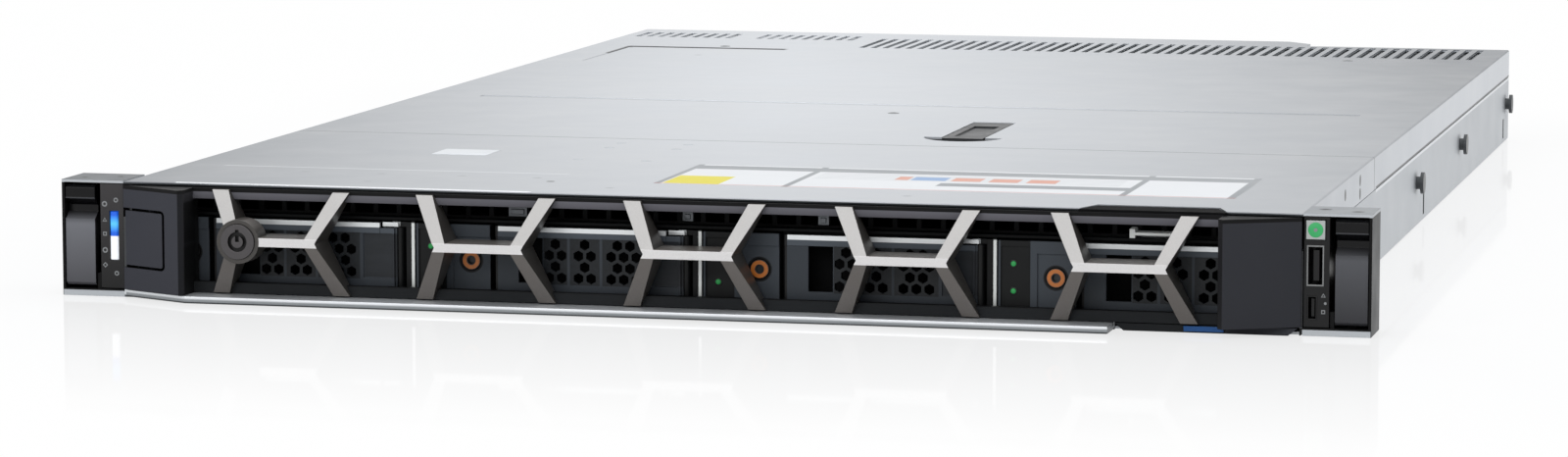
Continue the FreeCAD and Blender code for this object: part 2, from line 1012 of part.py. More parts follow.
def bezel_release_button():
    """A plate that follows the slope of the pad and travels straight in on its stem."""
    z0, z1 = release_low, release_low + release_height
    inner = front_y - fit - pin_play
    outline = [
        (release_left, ramp_y(release_left)),
        (release_right, ramp_y(release_right)),
        (release_right, ramp_y(release_right) + release_plate),
        (stem_right, ramp_y(stem_right) + release_plate),
        (stem_right, inner),
        (stem_left, inner),
        (stem_left, ramp_y(stem_left) + release_plate),
        (release_left, min(ramp_y(release_left) + release_plate, inner)),
    ]
    plate = slab_z(outline, z0, z1)
    return plate.common(
        rounded_right(release_left, release_right, z0, z1, -bezel_reach, rail_back, release_corner)
    )


def release_guide():
    """The rib inside the pad along which the button's stem slides."""
    x1 = stem_left - fit
    x0 = x1 - pad_wall
    y0 = ramp_y(x0) + release_plate + release_travel + fit
    return box(x0, x1, y0, front_y - fit, opening_low + sheet, opening_high - sheet)


def bezel_frame():
    """Two hollow end pads, the rails between them and the tab that fills the notch above."""
    z0, z1 = release_low - release_gap, release_low + release_height + release_gap
    window = rounded_right(
        -half - sheet,
        release_right + release_gap,
        z0,
        z1,
        -bezel_reach - sheet,
        rail_back + sheet,
        release_corner + release_gap,
    )
    pad = left_pad()
    end = half - fit - pad_width + sheet
    low_rail = box(-end, end, rail_front, rail_back, opening_low, opening_low + rail_height)
    high_rail = box(-end, end, rail_front, rail_back, opening_high - rail_height, opening_high)
    tab_low, tab_high = opening_high - sheet, cover_top - tab_drop
    outline = [(x, min(y, front_y + notch_depth - 2 * sheet)) for x, y in notch_outline(fit)]
    tab = slab_z(outline, tab_low, tab_high)
    x0, x1 = notch_left - notch_slope + sheet, notch_left + notch_width + notch_slope - sheet
    tab_front = box(x0, x1, rail_front, front_y, tab_low, tab_high)
    return join([pad.cut(window), release_guide(), mirror(pad), low_rail, high_rail, tab, tab_front])


def unit_outline(centre):
    """One honeycomb unit from the front: two V-shaped pairs of bars and a level bar between them."""
    high_edge = ridge_centre + ridge_height / 2
    low_edge = ridge_centre - ridge_height / 2
    inner = unit_top_half - unit_bar
    notch = unit_waist - waist_bar
    right = [
        (notch, high_edge),
        (inner, opening_high),
        (unit_top_half, opening_high),
        (unit_waist, ridge_centre),
        (unit_top_half, opening_low),
        (inner, opening_low),
        (notch, low_edge),
    ]
    left = [(-x, z) for x, z in reversed(right)]
    return [(centre + x, z) for x, z in right + left]


def bezel_slopes():
    """The bezel's depth from the side: level at the ridge, sloping back to the two rails."""
    low_foot = opening_low + fit
    high_foot = opening_high - fit
    foot_y = rail_front - bar_foot
    return [
        (rail_back, opening_low + rail_height),
        (rail_front, opening_low + rail_height),
        (rail_front, low_foot),
        (foot_y, low_foot),
        (-bezel_reach, ridge_centre - ridge_height / 2),
        (-bezel_reach, ridge_centre + ridge_height / 2),
        (foot_y, high_foot),
        (rail_front, high_foot),
        (rail_front, opening_high - rail_height),
        (rail_back, opening_high - rail_height),
    ]


def bezel_grille():
    """Five honeycomb units; the one at the left ends in the lock's collar."""
    slopes = slab_x(bezel_slopes(), -half, half)
    collar_back = lock_depth - bezel_reach
    bore_end = collar_back - lock_shoulder
    start = -bezel_reach - sheet
    collar = rod_y(lock_x, ridge_centre, lock_radius + lock_collar, -bezel_reach, collar_back)
    bore = rod_y(lock_x, ridge_centre, lock_radius + pin_play, start, bore_end)
    cam_hole = rod_y(lock_x, ridge_centre, lock_radius / 2, start, rail_back)
    units = []
    for k in range(unit_count):
        centre = (k - (unit_count - 1) / 2) * unit_pitch
        unit = slab_y(unit_outline(centre), start, rail_back).common(slopes)
        if abs(centre - lock_x) < unit_pitch / 2:
            unit = join([unit, collar]).cut([bore, cam_hole])
        units.append(unit)
    return units


def bezel_lock():
    """The key cylinder, with a sunk ring and its key slot."""
    y0 = -bezel_reach - lock_proud
    start, floor = y0 - sheet, y0 + lock_ring_depth
    barrel = rod_y(lock_x, ridge_centre, lock_radius, y0, lock_depth - bezel_reach - lock_shoulder - fit)
    core = rod_y(lock_x, ridge_centre, lock_core, start, floor + sheet)
    groove = rod_y(lock_x, ridge_centre, lock_ring, start, floor).cut(core)
    key = centred(lock_x, ridge_centre + key_reach / 2, key_width, key_reach, start, floor)
    return barrel.cut([groove, key])


# Drive cage and drives


def air_strip():
    """The pierced strip that lets air in over the drives."""
    y0 = face_y + strip_setback
    strip = box(-upper_inner, upper_inner, y0, y0 + sheet, shelf_z, wall_top)
    low = shelf_z + sheet + strip_border
    high = wall_top - 2 * strip_border
    count = int(2 * (upper_inner - strip_pitch) / strip_pitch)
    start = -count * strip_pitch / 2
    lefts = [start + k * strip_pitch for k in range(count)]
    holes = [box(x, x + strip_pitch - strip_bar, y0 - sheet, y0 + 2 * sheet, low, high) for x in lefts]
    return strip.cut(holes)


def drive_cage():
    """Dividers between the bays, the shelf above them, the air strip and a hook for the bezel."""
    y1 = drive_rear - sheet
    parts = [
        box(bay_left(b) - divider / 2, bay_left(b) + divider / 2, face_y, y1, sheet, shelf_z)
        for b in range(1, bay_count)
    ]
    shelf_front = face_y + shelf_setback
    parts.append(box(-upper_inner, upper_inner, shelf_front, y1, shelf_z, shelf_z + sheet))
    parts.append(air_strip())
    hook_x = tag_left + hook_offset
    hook_back = face_y + strip_setback + sheet / 2
    hook_low = shelf_z + sheet + hook_lift
    hook = box(hook_x, hook_x + hook_width, shelf_front, hook_back, hook_low, hook_low + sheet)
    leg_high = hook_low + 2 * sheet + fit
    leg = box(hook_x, hook_x + 2 * sheet, shelf_front, hook_back, shelf_z + sheet / 2, leg_high)
    return join([*parts, hook, leg])


lever_low = drive_floor + lever_lift
lever_high = shelf_z - lever_gap
frame_y = face_y + lever_thick + lever_room
lever_pin_y = frame_y - lever_eye - fit
mesh_low = lever_low + mesh_border_low
mesh_high = lever_high - mesh_border_high


def drive_carrier(bay):
    """Two side rails and a front frame, whose left block holds the lights and the release button."""
    base = bay_left(bay)
    left = bay_inside(bay)
    right = left + bay_pitch - divider - 2 * bay_gap
    top = lever_high
    pin_x = base + lever_pin_x
    frame = box(left, right, frame_y, drive_front, drive_floor, top)
    window = box(
        base + block_width + frame_border,
        pin_x - frame_border,
        frame_y - sheet,
        drive_front + sheet,
        drive_floor + frame_rail,
        top - frame_rail,
    )
    block = box(left, base + block_width, face_y, frame_y + pin_play, drive_floor, top)
    start = face_y - sheet
    well = rod_y(base + eject_x, eject_z, eject_radius + fit, start, face_y + eject_depth)
    floor = face_y + recess
    lights = box(left + sheet, base + lights_width, start, floor, drive_floor + frame_lip, top - frame_lip)
    step_low, step_high = drive_floor - sheet, top - step_drop
    step = box(base + step_start, base + block_width + sheet, start, floor, step_low, step_high)
    post = box(base + post_start, right, face_y + post_setback, frame_y + pin_play, drive_floor, top)
    rails = [
        box(
            x,
            x + rail_thickness,
            drive_front - pin_play,
            drive_rear - rail_end,
            drive_floor + rail_lift,
            drive_top - rail_drop,
        )
        for x in (left, right - rail_thickness)
    ]
    arm_left = pin_x - lever_eye
    arm_y = lever_pin_y - pin_radius - fit
    pin = rod_z(pin_x, lever_pin_y, pin_radius, drive_floor + arm_thickness / 2, top - arm_thickness / 2)
    arms = [
        box(arm_left, right, arm_y, frame_y + pin_play, z, z + arm_thickness)
        for z in (drive_floor, top - arm_thickness)
    ]
    return join([frame.cut(window), block.cut([well, lights, step]), post, *rails, *arms, pin])


def mesh_cells(left, right, y0, y1):
    """Whole hexagons in staggered rows that fill a panel of the lever."""
    tall = 2 * cell_flat / math.sqrt(3)
    row_pitch = cell_pitch * math.sqrt(3) / 2
    rows = int((mesh_high - mesh_low - tall) / row_pitch) + 1
    first = (mesh_low + mesh_high) / 2 - (rows - 1) * row_pitch / 2
    count = int((right - left - cell_flat) / cell_pitch) + 1
    cells = []
    for row in range(rows):
        in_row = count - row % 2
        start = (left + right) / 2 - (in_row - 1) * cell_pitch / 2
        z = first + row * row_pitch
        for column in range(in_row):
            corners = ring_points(start + column * cell_pitch, z, tall / 2, 6)
            cells.append(slab_y(corners, y0, y1))
    return cells


def drive_lever(bay):
    """The ejector lever: a plate pierced by panels of hexagons, with a hinge eye at its right end."""
    base = bay_left(bay)
    left = base + lever_left
    pin_x = base + lever_pin_x
    low, high = lever_low + arm_thickness, lever_high - arm_thickness - fit
    y0, y1 = face_y - sheet, face_y + lever_thick + sheet
    face = box(left, base + lever_right, face_y, face_y + lever_plate, low, high)
    cap_top = high + cap_height
    cap = box(left, base + cap_end, face_y - fit, face_y + lever_cap, high - cap_height, cap_top)
    grip = box(left, left + lever_grip, face_y, face_y + lever_thick, low, high)
    hand_hole = box(base + hole_start, base + hole_end, y0, y1, mesh_low, mesh_high)
    cells = []
    panel_left = base + mesh_start
    for share in panel_shares:
        width = share * mesh_room / sum(panel_shares)
        cells += mesh_cells(panel_left, panel_left + width, y0, y1)
        panel_left += width + panel_bar
    label_step = box(panel_left, base + label_end, y0, face_y + recess, mesh_low, mesh_high)
    lever = join([face, cap, grip]).cut([hand_hole, label_step, *cells])
    eye = rod_z(pin_x, lever_pin_y, lever_eye, low, high)
    link = box(pin_x - link_width, pin_x, face_y + sheet, lever_pin_y + pin_radius, low, high)
    hole = rod_z(pin_x, lever_pin_y, pin_radius + pin_play, low - sheet, cap_top)
    return join([lever, eye, link]).cut(hole)


def drive_release_button(bay):
    """A round button with a sunk centre."""
    x = bay_left(bay) + eject_x
    y0 = face_y + fit
    body = rod_y(x, eject_z, eject_radius, y0, face_y + eject_depth - eject_travel - fit)
    return body.cut(rod_y(x, eject_z, eject_bore, y0 - sheet, y0 + eject_travel))


def hard_drive(bay):
    """A 3.5-inch drive: the cast body, a raised lid and the connector at its back."""
    x0 = bay_inside(bay) + rail_thickness
    x1 = x0 + drive_width
    back = drive_rear - plug_reach
    lid_z = drive_top - lid_height
    body = box(x0 + pin_play, x1 - pin_play, drive_front + pin_play, back, drive_floor, lid_z)
    lid_front, lid_back = drive_front + lid_border, back - lid_border
    outline = [
        (x0 + lid_border, lid_front),
        (x1 - lid_border, lid_front),
        (x1 - lid_border, lid_back - 2 * lid_corner),
        (x1 - lid_corner, lid_back),
        (x0 + lid_corner, lid_back),
        (x0 + lid_border, lid_back - 2 * lid_corner),
    ]
    lid = slab_z(outline, lid_z - pin_play, drive_top)
    left = x0 + plug_inset + fit
    low = drive_floor + sheet
    plug = box(left, left + plug_width, back - pin_play, drive_rear, low, low + plug_height)
    return join([body, lid, plug])


def backplane():
    """The board behind the drives, pierced for air, with one socket for each drive."""
    y0, y1 = backplane_y, backplane_y + backplane_thickness
    edge = upper_inner - sheet
    board = box(-edge, edge, y0, y1, sheet, wall_top - sheet)
    windows = []
    sockets = []
    power_plugs = []
    for bay in range(bay_count):
        x0 = bay_inside(bay) + rail_thickness
        x1 = x0 + drive_width - plug_inset
        socket_end = x0 + plug_inset + plug_width + 2 * fit
        back = y1 + sheet
        windows.append(box(socket_end + air_border, x1, y0 - sheet, back, air_low, drive_top - air_border))
        air_high = wall_top - air_border
        windows.append(box(x0 + air_border, x1, y0 - sheet, back, shelf_z + 2 * sheet, air_high))
        socket_high = drive_floor + plug_height + 2 * sheet
        sockets.append(
            box(x0 + plug_inset, socket_end, drive_rear + fit, y0 + pin_play, drive_floor, socket_high)
        )
        if bay:
            x = socket_end - air_border - power_plug_width
            z = socket_high + sheet
            end = y1 + power_plug_reach
            power_plugs.append(box(x, x + power_plug_width, y1 - pin_play, end, z, z + power_plug_height))
    return join([board.cut(windows), *sockets, *power_plugs])


# Fans

fan_side = wall_top - sheet - 2 * fit
fan_pitch = 2 * (upper_inner - fan_margin) / fan_count
fan_z = sheet + fan_side / 2 + fit
fan_bore = fan_side / 2 - fan_wall
rotor_y = fan_y + rotor_inset
spider_y = rotor_y + rotor_length + sheet


def fan_x(number):
    return (number - (fan_count - 1) / 2) * fan_pitch


def fan_housings():
    """Square fan bodies, each with a round duct and a four-armed spider that holds the shaft."""
    housings = []
    side = fan_side / 2
    rear = fan_y + fan_length
    reach = side - sheet / 2
    arm = arm_width / 2
    arm_y0 = spider_y + arm_setback
    arm_y1 = arm_y0 + arm_depth
    for k in range(fan_count):
        x = fan_x(k)
        body = box(x - side, x + side, fan_y, rear, sheet, sheet + fan_side + fit)
        body = body.cut(rod_y(x, fan_z, fan_bore, fan_y - sheet, rear + sheet))
        outline = ring_points(x, fan_z, hub_radius - sheet, spider_sides)
        hub = slab_y(outline, spider_y, spider_y + spider_depth)
        shaft = rod_y(x, fan_z, shaft_radius, rotor_y + shaft_inset, spider_y + sheet)
        level = box(x - reach, x + reach, arm_y0, arm_y1, fan_z - arm, fan_z + arm)
        upright = box(x - arm, x + arm, arm_y0, arm_y1, fan_z - reach, fan_z + reach)
        left = x - side
        plug_end = rear + fan_plug_reach
        plug_top = sheet + fan_plug_height
        plug = box(left, left + fan_plug_width, rear - pin_play, plug_end, sheet, plug_top)
        housings.append(join([body, hub, shaft, level, upright, plug]))
    return housings


def impeller(x, z, y0, y1, tip, hub, bore_y0, bore_y1):
    """A ten-sided hub with pitched blades, bored for its shaft."""
    parts = [slab_y(ring_points(x, z, hub, hub_sides), y0, y1)]
    mid = (y0 + y1) / 2
    chord = (y1 - y0) - blade_thickness * 2
    angle = math.radians(blade_angle)
    half_width = (chord * math.sin(angle) + blade_thickness * math.cos(angle)) / 2
    blade_top = math.sqrt(tip**2 - half_width**2)
    root = hub / 2
    for k in range(fan_blades):
        blade = Part.makeBox(blade_thickness, chord, blade_top - root)
        blade.translate(V(x - blade_thickness / 2, mid - chord / 2, z + root))
        blade.rotate(V(x, mid, z), V(0, 0, 1), blade_angle)
        blade.rotate(V(x, mid, z), V(0, 1, 0), k * 360 / fan_blades)
        parts.append(blade)
    bore = rod_y(x, z, shaft_radius + pin_play, bore_y0, bore_y1)
    return join(parts).cut(bore)


def fan_rotor(number):
    y1 = rotor_y + rotor_length
    tip = fan_bore - fan_play
    return impeller(fan_x(number), fan_z, rotor_y, y1, tip, hub_radius, rotor_y + sheet, y1 + sheet)


# System board and what stands on it


def riser_places():
    """The risers' centres, just beside the slots that they serve."""
    return [slot_xs[0] + slot_width + riser_gap, slot_xs[1] - riser_gap]


def dimm_places():
    """The memory sockets' centres: a bank on each side of each processor."""
    first = sink_width / 2 + dimm_bank_gap + dimm_pitch / 2
    return [
        side * sink_offset + direction * (first + k * dimm_pitch)
        for side in (-1, 1)
        for direction in (-1, 1)
        for k in range(dimm_per_bank)
    ]


def system_board():
    """An L-shaped board that leaves the corner with the power supplies free."""
    outline = [
        (board_left, board_y),
        (board_right, board_y),
        (board_right, board_rear),
        (rear_left, board_rear),
        (rear_left, board_front_end),
        (board_left, board_front_end),
    ]
    low = board_top - pin_play
    parts = [slab_z(outline, board_lift, board_top)]
    for side in (-1, 1):
        x0 = side * sink_offset - socket_width / 2
        y0 = board_mid - socket_length / 2
        parts.append(box(x0, x0 + socket_width, y0, y0 + socket_length, low, board_top + socket_height))
    # A memory socket's two latches, in front of the module and behind it
    for x in dimm_places():
        x0, x1 = x - dimm_socket / 2, x + dimm_socket / 2
        y0, y1 = board_mid - dimm_length / 2, board_mid + dimm_length / 2
        high = board_top + dimm_socket_height
        parts.append(box(x0, x1, y0 - dimm_latch, y0, low, high))
        parts.append(box(x0, x1, y1, y1 + dimm_latch, low, high))
    # The control chip and the sockets that the risers plug into
    chip_y = psu_y + chip_inset
    chip_x = rear_right - 2 * chip_size
    parts.append(box(chip_x, chip_x + chip_size, chip_y, chip_y + chip_size, low, board_top + chip_height))
    socket_y = riser_y - riser_lap
    for x in riser_places():
        x0 = x - riser_socket_width / 2
        y1 = riser_y + riser_length + riser_lap
        parts.append(box(x0, x0 + riser_socket_width, socket_y, y1, low, board_top + riser_socket_height))
    return join(parts)


def dimm_modules():
    y0, y1 = board_mid - dimm_length / 2, board_mid + dimm_length / 2
    top = wall_top - headroom
    modules = []
    for x in dimm_places():
        stick = box(x - dimm_board / 2, x + dimm_board / 2, y0, y1, board_top, top)
        chip_low = board_top + dimm_socket_height - sheet
        chips = box(
            x - dimm_thickness / 2,
            x + dimm_thickness / 2,
            y0 + dimm_socket,
            y1 - dimm_socket,
            chip_low,
            top - dimm_latch,
        )
        modules.append(join([stick, chips]))
    return modules


def cpu_heatsinks():
    """Two heatsinks: a base on each processor and upright fins along the air's path."""
    low = board_top + socket_height
    top = wall_top - headroom
    y0, y1 = board_mid - sink_length / 2, board_mid + sink_length / 2
    count = int((sink_width - fin_thickness) / fin_pitch)
    edge = (sink_width - count * fin_pitch - fin_thickness) / 2
    sinks = []
    for side in (-1, 1):
        x0 = side * sink_offset - sink_width / 2
        base = box(x0, x0 + sink_width, y0, y1, low, low + sink_base)
        lefts = [x0 + edge + k * fin_pitch for k in range(count + 1)]
        fins = [box(x, x + fin_thickness, y0, y1, low + sink_base - pin_play, top) for x in lefts]
        sinks.append(join([base, *fins]))
    return sinks


def air_shroud():
    """A thin duct over the processors and memory, standing on the board at its sides and middle."""
    y0, y1 = board_y + shroud_inset, psu_y - 2 * shroud_inset
    top = wall_top - shroud_gap
    under = top - shroud_thickness
    edge = board_right - shroud_inset / 2
    roof = box(-edge, edge, y0, y1, under, top)
    inset = shroud_leg / 2
    legs = [
        box(x - inset, x + inset, y0 + shroud_inset, y1 - shroud_inset, board_top, under + pin_play)
        for x in (inset - edge, 0, edge - inset)
    ]
    slots = [
        box(
            x - duct_slot_length / 2,
            x + duct_slot_length / 2,
            y1 - (k + 1) * duct_slot_pitch - duct_slot_width,
            y1 - (k + 1) * duct_slot_pitch,
            under - sheet,
            top + sheet,
        )
        for x in (-sink_offset, sink_offset)
        for k in range(duct_slot_count)
    ]
    return join([roof.cut(slots), *legs])


def riser_cage():
    """Two riser boards, each in a bent bracket that carries the slot covers' inner ends."""
    y0, y1 = riser_y - 2 * riser_lap, body_depth - sheet - blank_proud
    top = wall_top - shroud_gap
    under = top - sheet
    side = riser_thickness / 2
    socket_top = board_top + riser_socket_height
    brackets = []
    for k, (x, edge) in enumerate(zip(riser_places(), slot_xs)):
        card = box(x - side, x + side, riser_y, riser_y + riser_length, socket_top, under + pin_play)
        left, right = (edge, x + riser_lap) if k == 0 else (x - riser_lap, edge + slot_width)
        roof = box(left, right, y0, y1, under, top)
        rear = box(left, right, y1 - sheet, y1, slot_low + slot_height + fit, under + pin_play)
        brackets.append(join([roof, card, rear]))
    return brackets


def expansion_blanks():
    """Slot covers pierced by a row of upright slots, hooked on the rear wall."""
    y0, y1 = body_depth - sheet - blank_proud, body_depth + blank_proud
    z0, z1 = slot_low + fit, slot_low + slot_height - fit
    count = int((slot_width - 4 * slot_inset) / blank_pitch)
    blanks = []
    for x in slot_xs:
        blank = box(x + fit, x + slot_width - fit, y0, y1, z0, z1)
        lefts = [x + 2 * slot_inset + k * blank_pitch for k in range(count)]
        low, high = z0 + blank_border, z1 - blank_border
        holes = [box(left, left + blank_hole, y0 - sheet, y1 + sheet, low, high) for left in lefts]
        blanks.append(blank.cut(holes))
    return blanks


def port_sizes():
    """Each rear port's left edge, width and height: network, two USB pairs and video."""
    usb = (rear_usb_width, rear_usb_height)
    sizes = []
    x = ports_x
    for width, tall in ((network_width, network_height), usb, usb, (display_width, display_height)):
        sizes.append((x, width, tall))
        x += width + port_gap
    return sizes


def rear_ports():
    """Shielded sockets on the board's rear edge, open towards the back."""
    y0, y1 = body_depth - port_depth, body_depth + port_proud
    floor = y1 - plug_depth
    ports = []
    for number, (x, width, tall) in enumerate(port_sizes()):
        shell = box(x, x + width, y0, y1, board_top, board_top + tall)
        x0, x1 = x + port_wall, x + width - port_wall
        low, high = board_top + port_wall, board_top + tall - port_wall
        shape = shell.cut(box(x0, x1, floor, y1 + sheet, low, high))
        if number in (1, 2):
            z = board_top + tall - tongue_drop
            tongue = box(x0 + sheet, x1 - sheet, floor - pin_play, y1 - 2 * sheet, z - tongue_thickness, z)
            shape = join([shape, tongue])
        ports.append(shape)
    return ports


def cage_places():
    """The left edges of the network card's two cages."""
    return [ocp_x + cage_inset, ocp_x + ocp_width - cage_inset - cage_width]


def ocp_card():
    """The network card: a board, a faceplate and two open cages."""
    y0, y1 = body_depth - ocp_length, body_depth + blank_proud
    low = port_low + fit
    plate_y = y1 - port_wall - fit
    edge = ocp_x + ocp_width
    board = box(ocp_x + holder_wall, edge - holder_wall, y0, plate_y + fit, low, low + board_thickness)
    plate = box(ocp_x + fit, edge - fit, plate_y, y1, low, port_low + ocp_height - fit)
    cages = []
    hollows = []
    for x in cage_places():
        z0, z1 = low + board_thickness - pin_play, low + cage_height
        cages.append(box(x, x + cage_width, y1 - cage_depth, y1 - port_wall, z0, z1))
        x0, x1 = x + port_wall, x + cage_width - port_wall
        hollows.append(box(x0, x1, y1 - cage_depth + 3 * sheet, y1 + sheet, z0 + port_wall, z1 - port_wall))
    return join([board, plate, *cages]).cut(hollows)


# Power supplies

psu_top = psu_low + min(psu_height, wall_top - psu_low - fit)
psu_fan_z = (psu_low + psu_top) / 2
psu_latch_low = psu_low + inlet_lift + inlet_height + psu_latch_margin
psu_latch_y = psu_face + latch_standoff


def psu_fan_x(number):
    return psu_places()[number] + psu_width - fit - board_margin - psu_fan_radius


def psu_latch_x(number):
    return psu_places()[number] + fit + psu_latch_inset


def inlet_places(number):
    """The left, right, lower and upper side of a supply's mains inlet."""
    x0 = psu_places()[number] + fit + inlet_wall
    z0 = psu_low + inlet_lift
    return x0, x0 + inlet_width, z0, z0 + inlet_height


def handle_loop(centre):
    """The pull handle: a flat loop that stands out from the supply's face."""
    shoulder = psu_face + loop_shoulder * handle_length
    low = psu_top - loop_bar - fit
    outer = loop_outline(centre, loop_width / 2, shoulder, handle_reach, loop_corner, psu_face - pin_play)
    side = loop_width / 2 - loop_bar
    corner = loop_corner - loop_bar / 2
    inner = loop_outline(
        centre, side, shoulder - loop_bar / 2, handle_reach - loop_bar, corner, psu_face - sheet
    )
    handle = slab_z(outer, low, low + loop_thickness)
    return handle.cut(slab_z(inner, low - sheet, low + loop_thickness + sheet))


def loop_outline(centre, side, shoulder, end, corner, start):
    """A loop from above: straight sides, then a taper to its end."""
    return [
        (centre - side, start),
        (centre + side, start),
        (centre + side, shoulder),
        (centre + side - corner, end),
        (centre - side + corner, end),
        (centre - side, shoulder),
    ]


def latch_lugs(number):
    """Two lugs on the supply's face and the pin between them."""
    x = psu_latch_x(number)
    side = psu_latch_thickness / 2
    low, high = psu_latch_low, psu_latch_low + psu_latch_height
    lugs = [
        box(x - side, x + side, psu_face - pin_play, psu_latch_y + pin_radius + fit, z, z + lug_thickness)
        for z in (low - fit - lug_thickness, high + fit)
    ]
    return [*lugs, rod_z(x, psu_latch_y, pin_radius, low - sheet, high + sheet)]


def psu_case(number):
    """The supply's case, with a mains inlet, a duct for its fan, a pull handle and the latch's pin."""
    x0 = psu_places()[number] + fit
    x1 = x0 + psu_width - 2 * fit
    case = box(x0, x1, psu_y, psu_face, psu_low, psu_top)
    fan_centre = psu_fan_x(number)
    duct_end = psu_face - psu_fan_depth
    duct = rod_y(fan_centre, psu_fan_z, psu_fan_radius, duct_end, psu_face + sheet)
    post = rod_y(fan_centre, psu_fan_z, shaft_radius, duct_end - sheet, psu_face - shaft_end)
    left, right, low, high = inlet_places(number)
    inlet = box(left, right, psu_face - inlet_depth, psu_face + sheet, low, high)
    pins = []
    for across, up in mains_pins:
        x, z = left + across * inlet_width, low + up * inlet_height
        y = psu_face - inlet_depth - sheet
        pins.append(centred(x, z, mains_pin_width, mains_pin_height, y, psu_face - pin_setback))
    reach = psu_fan_radius + sheet / 2
    bar_low = psu_fan_z - (grille_count - 1) / 2 * grille_pitch
    grille = [
        centred(fan_centre, bar_low + k * grille_pitch, 2 * reach, grille_bar, psu_face - sheet, psu_face)
        for k in range(grille_count)
    ]
    edge_z = psu_low + edge_lift
    edge_end = psu_y + pin_play
    tongue = box(
        x0 + edge_inset, x1 - edge_inset, psu_y - edge_reach, edge_end, edge_z, edge_z + board_thickness
    )
    case = case.cut([duct, inlet])
    return join([case, post, *pins, *grille, tongue, handle_loop(fan_centre), *latch_lugs(number)])


def psu_latch(number):
    """The release tab beside the handle, cranked outwards for the thumb."""
    x = psu_latch_x(number)
    side = psu_latch_thickness / 2
    crank = psu_latch_y + crank_start
    tip = psu_latch_y + crank_end
    outline = [
        (x - side, psu_face + fit + pin_play),
        (x + side, psu_face + fit + pin_play),
        (x + side, crank),
        (x + side + crank_offset, tip),
        (x + side, tip + sheet),
        (x - side, crank + sheet),
    ]
    tab = slab_z(outline, psu_latch_low, psu_latch_low + psu_latch_height)
    low, high = psu_latch_low - sheet, psu_latch_low + psu_latch_height + sheet
    return tab.cut(rod_z(x, psu_latch_y, pin_radius + pin_play, low, high))


def psu_rotor(number):
    y0 = psu_face - psu_fan_depth + 2 * sheet
    y1 = psu_face - 4 * sheet
    tip = psu_fan_radius - fan_play
    bore_end = psu_face - shaft_end + fit
    return impeller(psu_fan_x(number), psu_fan_z, y0, y1, tip, psu_hub_radius, y0 - sheet, bore_end)


def main():
    os.makedirs(OUT, exist_ok=True)
    save("chassis_tray", chassis_tray())
    save("rail_studs", *rail_studs())
    save("drive_bay_cover", drive_bay_cover())
    save("top_cover", top_cover())
    save("cover_latch_base", cover_latch_base())
    save("cover_latch_lever", cover_latch_lever())
    save("ear_left", ear_left())
    save("ear_right", mirror(ear_left()))
    save("ear_latch_left", ear_latch_left())
    save("ear_latch_right", mirror(ear_latch_left()))
    save("control_panel_left", control_panel_left())
    save("control_panel_right", control_panel_right())
    save("id_button", id_button())
    save("power_button", power_button())
    save("front_ports", *front_ports())
    save("info_tag_holder", info_tag_holder())
    save("info_tag", info_tag())
    save("bezel_frame", bezel_frame())
    save("bezel_grille", *bezel_grille())
    save("bezel_lock", bezel_lock())
    save("bezel_release_button", bezel_release_button())
    save("drive_cage", drive_cage())
    save("backplane", backplane())
    for bay in range(bay_count):
        label = str(bay + 1)
        save("drive_carrier_" + label, drive_carrier(bay))
        save("drive_lever_" + label, drive_lever(bay))
        save("drive_release_button_" + label, drive_release_button(bay))
        save("hard_drive_" + label, hard_drive(bay))
    save("fan_housings", *fan_housings())
    for number in range(fan_count):
        save("fan_rotor_" + str(number + 1), fan_rotor(number))
    save("system_board", system_board())
    save("dimm_modules", *dimm_modules())
    save("cpu_heatsinks", *cpu_heatsinks())
    save("air_shroud", air_shroud())
    save("riser_cage", *riser_cage())
    save("expansion_blanks", *expansion_blanks())
    save("rear_ports", *rear_ports())
    save("ocp_card", ocp_card())
    for number in range(psu_count):
        label = str(number + 1)
        save("psu_case_" + label, psu_case(number))
        save("psu_latch_" + label, psu_latch(number))
        save("psu_rotor_" + label, psu_rotor(number))


main()
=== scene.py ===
import math

import bmesh
import bpy
from mathutils import Matrix, Vector


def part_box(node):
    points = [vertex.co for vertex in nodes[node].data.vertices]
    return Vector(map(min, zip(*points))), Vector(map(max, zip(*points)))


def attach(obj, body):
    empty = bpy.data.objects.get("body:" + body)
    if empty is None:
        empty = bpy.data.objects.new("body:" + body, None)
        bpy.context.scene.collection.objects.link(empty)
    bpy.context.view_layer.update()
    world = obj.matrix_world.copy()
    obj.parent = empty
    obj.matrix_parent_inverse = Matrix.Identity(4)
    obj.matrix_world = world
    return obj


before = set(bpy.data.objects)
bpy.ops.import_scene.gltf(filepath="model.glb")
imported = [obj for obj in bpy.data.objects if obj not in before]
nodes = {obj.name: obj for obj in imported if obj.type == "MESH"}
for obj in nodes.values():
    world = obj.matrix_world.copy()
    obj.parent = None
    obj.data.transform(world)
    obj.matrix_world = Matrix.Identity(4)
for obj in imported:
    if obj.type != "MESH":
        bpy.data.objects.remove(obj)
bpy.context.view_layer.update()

# The looks of a 1U rack server: camera, light, a material for every piece, and the small parts
# that the frame leaves out. Places are in millimetres of the shared frame: X to the right,
# Y to the back, Z up from the underside. Only the camera, lamps and floor are placed in metres.

MM = 0.001


def low(node):
    """The lowest corner of a frame node, in millimetres."""
    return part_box(node)[0] / MM


def high(node):
    """The highest corner of a frame node, in millimetres."""
    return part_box(node)[1] / MM


